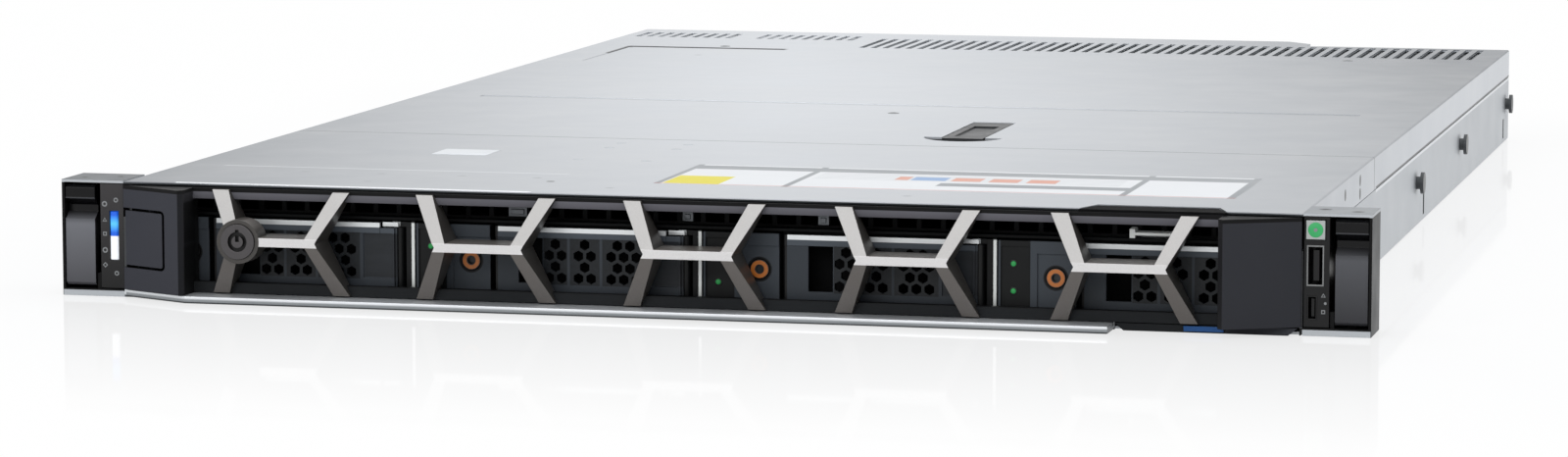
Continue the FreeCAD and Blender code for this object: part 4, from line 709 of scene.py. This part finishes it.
def lock_metal():
    """The key cylinder: dark plating, painted black as shade in its ring and key slot."""
    s = Surface("lock_metal")
    face = low("bezel_lock").y
    # All that is sunk behind the face is painted black, as the shade in the ring and key slot.
    sunk = s.ramp(s.axis("Y"), face + 0.15, face + 0.3)
    turned = s.noise(0.25, 2)
    s.paint(s.mix(sunk, s.mix(turned, "403e3f", "545152"), "060606"))
    s.set(metallic=0.5, specular=0.5)
    s.roughen(0.34, 0.05, 3)
    s.relief(turned, 0.006, 0.5)
    return s.material


def button_cap():
    """The power button's plated square."""
    s = Surface("button_cap")
    s.paint(s.mottled("a9aeac", 0.06, 3))
    s.set(metallic=0.6, specular=0.5)
    s.roughen(0.34, 0.05, 2)
    s.relief(s.noise(0.3), 0.008, 0.4)
    return s.material


def connector_shell():
    """Plated sockets whose rims are bright and whose insides are painted black as shade."""
    s = Surface("connector_shell")
    # All but the rims is painted black, as the shade inside the sockets.
    front = s.ramp(s.axis("Y"), panel_face + 0.25, panel_face + 0.1)
    rear = s.ramp(s.axis("Y"), body_rear - 0.1, body_rear + 0.1)
    rim = s.either(s.both(front, s.ramp(s.axis("Z"), 15, 16)), rear)
    s.paint(s.mix(rim, s.mottled("0c0c0d", 0.2, 4), s.mottled("7f8080", 0.06, 4)))
    s.set(metallic=s.times(rim, 0.6), specular=0.3)
    s.roughen(0.32, 0.05, 4)
    s.relief(s.noise(0.4), 0.006, 0.2)
    return s.material


def supply_sheet():
    """A supply's case: plated sheet with a black inlet and handle, and its duct behind the guard painted
    dark as shade.
    """
    s = Surface("supply_sheet")
    offset = s.offset(supply_left, supply_pitch)
    y, z = s.axis("Y"), s.axis("Z")
    sunk = s.between(y, supply_face - 30, supply_face - 0.25, 0.05)
    inlet = s.both(s.between(offset, 1.5, 23.7), s.between(z, 4.2, 20.9))
    # The duct behind the fan guard is painted dark as shade.
    duct = s.ring(offset, z, (fan_offset, fan_z), 15.1)
    shade = s.mottled("b4b7ba", 0.05, 40)
    shade = s.mix(s.both(sunk, s.either(inlet, duct)), shade, "0f0f10")
    handle = s.ramp(y, supply_face + 0.05, supply_face + 0.15)
    shade = s.mix(handle, shade, s.mottled("1c1c1e", 0.1, 8))
    s.paint(shade)
    s.set(metallic=s.times(s.math("SUBTRACT", 1.0, handle), 0.7), specular=0.4)
    s.roughen(0.38, 0.05, 12)
    s.relief(s.noise(0.5), 0.015, 0.3)
    return s.material


def service_sheet():
    """The service sheet on the cover: ruled grey lines and plain blocks of colour."""
    s = Surface("service_sheet")
    x, y = s.axis("X"), s.axis("Y")
    shade = s.mottled("e6e8ea", 0.02, 20)
    ruled = s.math("FRACT", s.math("DIVIDE", y, 4.0))
    faint = s.both(s.between(ruled, 0.3, 0.6, 0.06), s.patch(26, 140, 46, 68))
    shade = s.mix(s.times(faint, 0.45), shade, "9da1a5")
    left, right = sheet_x
    upright = ((left, left + 2.5), (21, 23.5), (145, 147.5), (right - 3, right))
    lines = [(start, end, *sheet_y) for start, end in upright]
    lines += [(left, right, 70, 82), (75, 146, 33, 43)]
    rules = s.either(*[s.patch(*line) for line in lines])
    shade = s.mix(rules, shade, s.mottled("8f9397", 0.03, 8))
    foot = s.both(s.between(y, 18.5, 20.5, 0.2), s.between(x, left, right, 0.3))
    shade = s.mix(s.times(foot, 0.5), shade, "c0706a")
    blocks = [(start, start + 11, 50, 61, "d89a86") for start in (77, 91, 105)]
    blocks += [(-24, -3, 20, 46, "e0d30f"), (56, 61, 50, 61, "d89a86"), (62, 75, 50, 61, "86a6cf")]
    for *corners, tint in blocks:
        shade = s.mix(s.patch(*corners), shade, tint)
    s.paint(shade)
    s.roughen(0.45, 0.03, 12)
    s.relief(s.noise(0.8), 0.004, 0.1)
    s.set(specular=0.4)
    return s.material


# Meshes for the small parts

FORWARD = (0, -1, 0)
BACKWARD = (0, 1, 0)
UP = (0, 0, 1)


class Piece:
    """A mesh that grows by blocks, level plates and lathed rounds, in millimetres of the frame."""

    def __init__(self):
        self.mesh = bmesh.new()

    def block(self, x0, x1, y0, y1, z0, z1, bevel=0.15):
        size = Matrix.Diagonal((x1 - x0, y1 - y0, z1 - z0, 1))
        centre = Matrix.Translation(((x0 + x1) / 2, (y0 + y1) / 2, (z0 + z1) / 2))
        made = bmesh.ops.create_cube(self.mesh, size=1, matrix=centre @ size)
        self.round_off({edge for corner in made["verts"] for edge in corner.link_edges}, bevel)

    def slab(self, outline, z0, z1, bevel=0.15):
        """A level plate with the given outline of (x, y) corners."""
        lower = [self.mesh.verts.new((x, y, z0)) for x, y in outline]
        upper = [self.mesh.verts.new((x, y, z1)) for x, y in outline]
        faces = [self.mesh.faces.new(lower), self.mesh.faces.new(upper)]
        for k in range(len(outline)):
            following = (k + 1) % len(outline)
            faces.append(self.mesh.faces.new([lower[k], lower[following], upper[following], upper[k]]))
        self.round_off({edge for face in faces for edge in face.edges}, bevel)

    def round_off(self, edges, bevel):
        bmesh.ops.bevel(self.mesh, geom=list(edges), offset=bevel, segments=2, affect="EDGES",
                        profile=0.7)

    def lathe(self, centre, direction, profile, steps=24, turn=0.0):
        """Turns (radius, height) points round a line through centre; heights run along direction."""
        tilt = Vector(UP).rotation_difference(Vector(direction)).to_matrix().to_4x4()
        place = Matrix.Translation(centre) @ tilt
        rings = []
        for radius, height in profile:
            if radius == 0:
                rings.append([self.mesh.verts.new(place @ Vector((0, 0, height)))])
                continue
            angles = [turn + 2 * math.pi * k / steps for k in range(steps)]
            spots = [Vector((radius * math.cos(a), radius * math.sin(a), height)) for a in angles]
            rings.append([self.mesh.verts.new(place @ p) for p in spots])
        for first, second in zip(rings, rings[1:]):
            self.bridge(first, second, steps)

    def bridge(self, first, second, steps):
        """Joins two rings, either of which may be a single point."""
        for k in range(steps):
            following = (k + 1) % steps
            if len(first) == 1:
                corners = [first[0], second[following], second[k]]
            elif len(second) == 1:
                corners = [first[k], first[following], second[0]]
            else:
                corners = [first[k], first[following], second[following], second[k]]
            self.mesh.faces.new(corners)

    def done(self, name, body, material):
        """Turns the mesh into a named piece that rides on a body of the frame."""
        bmesh.ops.recalc_face_normals(self.mesh, faces=self.mesh.faces)
        bmesh.ops.scale(self.mesh, vec=(MM, MM, MM), verts=self.mesh.verts)
        data = bpy.data.meshes.new(name)
        self.mesh.to_mesh(data)
        self.mesh.free()
        for face in data.polygons:
            face.use_smooth = True
        data.set_sharp_from_angle(angle=math.radians(35))
        data.materials.append(material)
        piece = bpy.data.objects.new(name, data)
        bpy.context.scene.collection.objects.link(piece)
        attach(piece, body)


def screw_head(piece, centre, direction, radius, rise):
    """A low pan head with a six-sided recess."""
    recess, bottom = radius * 0.5, rise * 0.2
    rim = [(radius, -0.1), (radius, rise * 0.5), (radius * 0.86, rise), (recess, rise)]
    piece.lathe(centre, direction, rim)
    socket = [(recess, rise), (radius * 0.46, bottom), (0, bottom)]
    piece.lathe(centre, direction, socket, steps=6)


def outline_mark(piece, x, z, radius, steps, turn):
    """A thin printed outline on a panel's face: a ring, a triangle or a square."""
    inner, sunk, proud = radius * 0.5, -0.02, 0.04
    profile = [(radius, sunk), (radius, proud), (inner, proud), (inner, sunk), (radius, sunk)]
    piece.lathe((x, panel_face, z), FORWARD, profile, steps, turn)


# The small parts


def panel_marks(finishes):
    """Small symbols beside the status light and beside the small socket."""
    left_x = low("control_panel_left").x + 1.6
    marks = Piece()
    for z, steps, degrees in ((34, 24, 0), (28, 3, 90), (23, 4, 45), (17, 24, 0), (11.5, 4, 0)):
        outline_mark(marks, left_x, z, 1.05, steps, math.radians(degrees))
    for z in (35.5, 8.5):
        outline_mark(marks, left_x + 4.4, z, 0.9, 24, 0)
    marks.done("panel_marks_left", "chassis", finishes["print"])
    right_x = power.x + 2.9
    marks = Piece()
    outline_mark(marks, right_x, 14.0, 1.0, 3, math.pi / 2)
    marks.lathe((right_x + 0.7, panel_face, 11.4), FORWARD, [(0.5, -0.02), (0.5, 0.04), (0, 0.04)])
    outline_mark(marks, right_x, 8.4, 1.0, 4, math.pi / 4)
    marks.done("panel_marks_right", "chassis", finishes["print"])


def power_lens(finishes):
    """The lit ring on the power button, round a plain dot."""
    centre = (power.x, low("power_button").y, power.z)
    lens = Piece()
    profile = [(2.65, -0.1), (2.65, 0.1), (2.45, 0.2), (0.75, 0.2), (0.65, 0.1)]
    lens.lathe(centre, FORWARD, profile)
    lens.done("power_lens", "power_button", finishes["power"])
    dot = Piece()
    dot.lathe(centre, FORWARD, [(0.75, -0.1), (0.7, 0.14), (0.4, 0.18), (0, 0.18)])
    dot.done("power_dot", "power_button", finishes["print"])


def drive_lights(finishes):
    """Two green lamps on each carrier, in small collars."""
    well_floor = drive_face + 0.6
    dome = [(0.95, -0.1), (0.95, 0.25), (0.8, 0.42), (0.45, 0.5), (0, 0.52)]
    collar = [(1.35, -0.1), (1.35, 0.2), (1.2, 0.28), (1.02, 0.28), (1.0, -0.1)]
    for bay in range(bay_count):
        number = str(bay + 1)
        lamps = Piece()
        rims = Piece()
        for z in (21.5, 11.8):
            centre = (bay_start + bay * bay_pitch + 6.6, well_floor, z)
            lamps.lathe(centre, FORWARD, dome)
            rims.lathe(centre, FORWARD, collar)
        lamps.done("drive_lamps_" + number, "drive_" + number, finishes["green"])
        rims.done("drive_lamp_rims_" + number, "drive_" + number, finishes["dark"])


def cage_blocks(finishes):
    """Clips in the slot over the levers, and two bright plates under the bezel's hook."""
    clips = Piece()
    face = drive_face + 8.1
    for x0, x1 in ((-73, -66), (-8, -4), (42, 46)):
        clips.block(x0, x1, face - 2.4, face, 32.5, 36, 0.3)
        clips.block(x0 + 1, x1 - 1, face - 3.0, face - 2.2, 33.4, 35.2, 0.25)
    clips.done("cage_clips", "chassis", finishes["clip"])
    plate = Piece()
    for left, z0, z1 in ((154.5, 31.5, 32.5), (149.0, 30.5, 31.1)):
        plate.block(left, 173.0, face - 0.6, face + 0.05, z0, z1, 0.12)
    plate.done("hook_plate", "chassis", finishes["strip"])


def bezel_surround(finishes):
    """The sill under the bezel, and dark sheets behind its end pads that stand in for shade."""
    sill = Piece()
    reach, back = -35.3, cover_front - 0.05
    end = low("info_tag_holder").x - 0.4
    start, corner = 0.4 - side, 0.4 - pad_edge
    sill.slab([(start, back), (corner, reach), (end, reach), (end, back)], 0.15, 2.75, 0.5)
    sill.done("front_sill", "chassis", finishes["sill"])
    for sign, word in ((-1, "left"), (1, "right")):
        x0, x1 = sorted((sign * pad_edge, sign * (pad_edge + 1.2)))
        # Black sheets behind the pads, put where the pads cast shade over the end bays.
        shade_sheet = Piece()
        shade_sheet.block(x0, x1, cover_front - 1.5, drive_face - 0.7, 5.2, 38.4, 0.2)
        shade_sheet.done("pad_baffle_" + word, "bezel", finishes["black"])


def arm_strips(finishes):
    """The bright strip on each lever goes on over the carrier's top arm."""
    y0, y1 = drive_face + 1.2, drive_face + 1.9
    for bay in range(bay_count):
        number = str(bay + 1)
        left = bay_start + bay * bay_pitch
        strip = Piece()
        strip.block(left + 95.4, left + 101.4, y0, y1, 28.0, 29.65, 0.15)
        strip.done("arm_strip_" + number, "drive_" + number, finishes["strip"])


def cover_trim(finishes):
    """The cover's rolled front hem, the service sheet, a blank plate and dished rivets."""
    hem = Piece()
    hem.block(-197, -62, cover_front + 0.1, cover_front + 2.6, cover_top - 0.2, cover_top + 0.14, 0.1)
    hem.done("cover_hem", "chassis", finishes["bright"])
    sheet = Piece()
    sheet.block(*sheet_x, *sheet_y, cover_top - 0.02, cover_top + 0.06, 0.02)
    sheet.done("service_sheet", "chassis", service_sheet())
    plate = Piece()
    plate.block(-137, -115, 97, 117, cover_top - 0.02, cover_top + 0.08, 0.03)
    plate.done("blank_plate", "chassis", finishes["plate"])
    rivets = Piece()
    dished = [(2.1, -0.1), (2.05, 0.06), (1.5, 0.16), (0.7, 0.1), (0, 0.08)]
    for x in (-77, -50):
        for y in (93, 137, 155):
            rivets.lathe((x, y, cover_top), UP, dished)
    rivets.done("cover_rivets", "chassis", finishes["cover_rivet"])


def cover_screws(finishes):
    """Three screws on top of the sliding cover."""
    screws = Piece()
    for x, y in ((-152, 610), (150, 600), (0, 300)):
        screw_head(screws, (x, y, cover_top), UP, 2.4, 0.2)
    screws.done("cover_screws", "cover", finishes["screw"])


def supply_fittings(finishes):
    """On each supply: a moulded inlet rim, a wire guard over the fan, a status lamp and two screws."""
    bottom = low("psu_case_1").z
    z0, z1 = bottom + 3.0, bottom + 19.5
    y0, y1 = supply_face - 0.1, supply_face + 0.9
    wire, outermost = 0.45, 15.4
    around = [math.pi * k / 4 for k in range(9)]
    lamp_shape = [(1.1, -0.1), (1.1, 0.3), (0.8, 0.6), (0, 0.7)]
    for place, number in enumerate(("1", "2")):
        left = supply_left + place * supply_pitch
        body = "psu_" + number
        rim = Piece()
        x0, x1 = left + 1.6, left + 23.6
        for z in (z0 - 1.4, z1 - 0.1):
            rim.block(x0 - 1.2, x1 + 1.2, y0, y1, z, z + 1.5, 0.25)
        for x in (x0 - 1.2, x1 - 0.1):
            rim.block(x, x + 1.3, y0, y1, z0 - 1.0, z1 + 1.0, 0.25)
        rim.done("inlet_rim_" + number, body, finishes["dark"])
        guard = Piece()
        centre = (left + fan_offset, supply_face + 0.55, fan_z)
        for radius in (4.5, 8.2, 11.9, outermost):
            loop = [(radius + wire * math.cos(a), wire * math.sin(a)) for a in around]
            guard.lathe(centre, BACKWARD, loop, 36)
        for angle in (45, 135):
            turn = math.radians(angle)
            reach = outermost * Vector((math.cos(turn), 0, math.sin(turn)))
            base = Vector(centre) - reach - Vector((0, 0.2, 0))
            length = 2 * outermost
            rod = [(0, 0), (wire, 0.1), (wire, length - 0.1), (0, length)]
            guard.lathe(base, reach.normalized(), rod, 8)
        guard.done("fan_guard_" + number, body, finishes["wire"])
        lamp = Piece()
        lamp.lathe((left + 30, supply_face, 6.5), BACKWARD, lamp_shape)
        lamp.done("supply_lamp_" + number, body, finishes["green"])
        screws = Piece()
        for x, z in ((left + 27.5, 36.8), (left + 57.0, 5.2)):
            screw_head(screws, (x, supply_face, z), BACKWARD, 1.9, 0.9)
        screws.done("supply_screws_" + number, body, finishes["screw"])


def rear_inserts(finishes):
    """The rear sockets' contacts and lamps, a moulded display socket, and the wall's screws."""
    left, bottom = low("rear_ports").xz
    right, rear = high("rear_ports").xy
    contacts = Piece()
    for k in range(8):
        x = left + 3.4 + 1.3 * k
        contacts.block(x - 0.25, x + 0.25, rear - 9.5, rear - 2.5, bottom + 10.4, bottom + 10.9, 0.08)
    contacts.done("jack_contacts", "chassis", finishes["gold"])
    lamps = Piece()
    for x in (left + 2.0, left + 14.0):
        lamps.block(x - 0.8, x + 0.8, rear - 0.3, rear + 0.1, bottom + 12.55, bottom + 13.35, 0.1)
    lamps.done("jack_lamps", "chassis", finishes["green"])
    insert = Piece()
    insert.block(right - 27.5, right - 3.5, rear - 6, rear - 1.4, bottom + 1.8, bottom + 9.2, 0.5)
    insert.done("display_insert", "chassis", finishes["blue"])
    # The pin holes are black dots that stand in for the shade inside them.
    pins = Piece()
    hole = [(0.55, -0.05), (0.5, 0.05), (0.25, 0.06), (0, 0.02)]
    for row in range(3):
        for k in range(5):
            x = right - 15.5 + (k - 2) * 3.6 + row * 0.6
            pins.lathe((x, rear - 1.4, bottom + 3.4 + 2.1 * row), BACKWARD, hole, 12)
    pins.done("display_pin_holes", "chassis", finishes["black"])
    screws = Piece()
    places = [(x, bottom + 5.5) for x in (right - 33.5, right + 2.0)]
    places += [(x, 15.0) for x in (low("expansion_blanks").x - 3.2, left - 3.0)]
    for x, z in places:
        screw_head(screws, (x, body_rear, z), BACKWARD, 1.8, 0.8)
    screws.done("wall_screws", "chassis", finishes["screw"])


def drive_trim(finishes):
    """A blank sheet on each drive's lid and the screws that hold the drive in its rails."""
    for number in [str(bay + 1) for bay in range(bay_count)]:
        bottom, top = low("hard_drive_" + number), high("hard_drive_" + number)
        body = "drive_" + number
        sheet = Piece()
        sheet.block(bottom.x + 12, top.x - 12, 12, 96, top.z - 0.02, top.z + 0.08, 0.03)
        sheet.done("drive_sheet_" + number, body, finishes["paper"])
        screws = Piece()
        carrier = "drive_carrier_" + number
        for y in (16, 58, 117):
            for sign, rail in ((-1, low(carrier).x), (1, high(carrier).x)):
                screw_head(screws, (rail, y, 9.4), (sign, 0, 0), 2.4, 0.25)
        screws.done("drive_screws_" + number, body, finishes["screw"])


# What each frame node is made of


def make_finishes():
    return {
        "cover": cover_sheet(),
        "tray": tray_sheet(),
        "ear": ear_sheet(),
        "inner": sheet_metal("inner_sheet", "8d9092", 0.45),
        "stud": sheet_metal("stud_steel", "4a4c4e", 0.35),
        "cage": cage_sheet(),
        "bezel": bezel_plastic(),
        "panel": panel_plastic(),
        "honeycomb": honeycomb_paint(),
        "grip": ear_grip(),
        "lock": lock_metal(),
        "carrier": carrier_plastic(),
        "sill": sill_sheet(),
        "lever": lever_plastic(),
        "ring": eject_ring(),
        "light": light_pipe(),
        "button": button_cap(),
        "shell": connector_shell(),
        "tag": moulded("tag_plastic", "0b4a86", 0.45),
        "drive": drive_casting(),
        "board": laminate("board_laminate", "1d5a36"),
        "memory": laminate("memory_laminate", "17482c"),
        "fins": sheet_metal("heatsink_fins", "c3c5c6", 0.3, 0.95),
        "shroud": moulded("shroud_plastic", "222224"),
        "fan": moulded("fan_plastic", "19191b", 0.45),
        "supply": supply_sheet(),
        "thumb": moulded("thumb_plastic", "c0602a", 0.45),
        "latch": moulded("latch_plastic", "26282b", 0.42),
        "print": moulded("printed_mark", "8b8d8e"),
        "green": lit_lens("green_lens", "12853d", 0.3),
        "power": lit_lens("power_glow", "2a9e58", 0.18),
        "dark": moulded("dark_plastic", "131415", 0.4),
        # Black that stands in for shade: the sheets behind the pads and the display socket's pin holes.
        "black": moulded("black_hole", "060606", 0.6),
        "clip": sheet_metal("clip_metal", "6c6f73", 0.4, 0.5),
        "bright": sheet_metal("bright_sheet", "e6e9ec", 0.3, 0.6),
        "strip": sheet_metal("bright_strip", "d6d9da", 0.35, 0.6),
        "plate": sheet_metal("plate_metal", "d3d7db", 0.4, 0.6),
        "cover_rivet": sheet_metal("rivet_metal", "b4b8bd", 0.4, 0.7),
        "paper": moulded("blank_sheet", "e4e6e8", 0.5, 0.8, 0.006, 0.05, 0.02),
        "screw": sheet_metal("screw_steel", "7d8082", 0.32, 0.85),
        "wire": sheet_metal("guard_wire", "a2a5a8", 0.28, 0.9),
        "gold": sheet_metal("contact_gold", "c8a04a", 0.25, 0.95),
        "blue": moulded("socket_blue", "2a4f9c", 0.4),
    }


def dress_nodes(finishes):
    """Gives each frame node the finish of the longest key that its name starts with."""
    chosen = {
        "top_cover": "cover", "drive_bay_cover": "cover", "chassis_tray": "tray", "ear_": "ear",
        "rail_studs": "stud", "riser_cage": "inner", "expansion_blanks": "inner",
        "drive_cage": "cage", "bezel_frame": "bezel", "bezel_release": "bezel",
        "info_tag_holder": "bezel", "bezel_grille": "honeycomb", "bezel_lock": "lock",
        "control_panel": "panel", "ear_latch": "grip", "drive_carrier": "carrier",
        "drive_lever": "lever", "drive_release": "ring", "id_button": "light",
        "power_button": "button", "front_ports": "shell", "rear_ports": "shell", "ocp_card": "shell",
        "info_tag": "tag", "hard_drive": "drive", "backplane": "board", "system_board": "board",
        "dimm_modules": "memory", "cpu_heatsinks": "fins", "air_shroud": "shroud", "fan_": "fan",
        "psu_case": "supply", "psu_latch": "thumb", "psu_rotor": "fan", "cover_latch": "latch",
    }
    for name, node in nodes.items():
        match = max((key for key in chosen if name.startswith(key)), key=len)
        node.data.materials.clear()
        node.data.materials.append(finishes[chosen[match]])


def make_floor():
    """A pale floor that fades into white, and keeps a soft shadow and a faint reflection."""
    piece = bmesh.new()
    bmesh.ops.create_circle(piece, cap_ends=True, radius=6.0, segments=96)
    data = bpy.data.meshes.new("floor")
    piece.to_mesh(data)
    piece.free()
    floor = bpy.data.objects.new("floor", data)
    floor.location = (0, 0.3, -0.0002)
    bpy.context.scene.collection.objects.link(floor)
    s = Surface("floor_paint")
    s.paint(s.mottled("f4f5f6", 0.01, 300))
    s.set(specular=0.5)
    s.roughen(0.045, 0.01, 200)
    rays = s.add("ShaderNodeLightPath")
    white = s.add("ShaderNodeEmission", {"Color": (1, 1, 1, 1), "Strength": 1.0}).outputs[0]
    kinds = ("Is Camera Ray", "Is Glossy Ray", "Is Transmission Ray")
    seen = s.either(*[rays.outputs[kind] for kind in kinds])
    across, depth = s.math("ABSOLUTE", s.axis("X")), s.axis("Y")
    beyond = s.either(s.ramp(across, 270, 420), s.ramp(depth, -370, -560), s.ramp(depth, 400, 560))
    share = s.times(seen, s.math("MULTIPLY_ADD", beyond, 0.25, 0.72))
    lit = s.add("ShaderNodeMixShader", {0: share, 1: s.shader.outputs[0], 2: white}).outputs[0]
    clear = s.add("ShaderNodeBsdfTransparent").outputs[0]
    distance = s.add("ShaderNodeVectorMath", {0: s.place}, operation="LENGTH").outputs["Value"]
    edge = s.ramp(distance, 1.2, 2.6)
    soft = s.add("ShaderNodeMixShader", {0: edge, 1: lit, 2: clear}).outputs[0]
    output = s.tree.nodes["Material Output"]
    s.tree.links.new(soft, output.inputs["Surface"])
    data.materials.append(s.material)


make_camera()
make_world()
make_light()
make_floor()
finishes = make_finishes()
dress_nodes(finishes)
for build in (panel_marks, power_lens, drive_lights, arm_strips, cage_blocks, bezel_surround,
              cover_trim, cover_screws, supply_fittings, rear_inserts, drive_trim):
    build(finishes)

bpy.context.scene.view_settings.view_transform = "Standard"
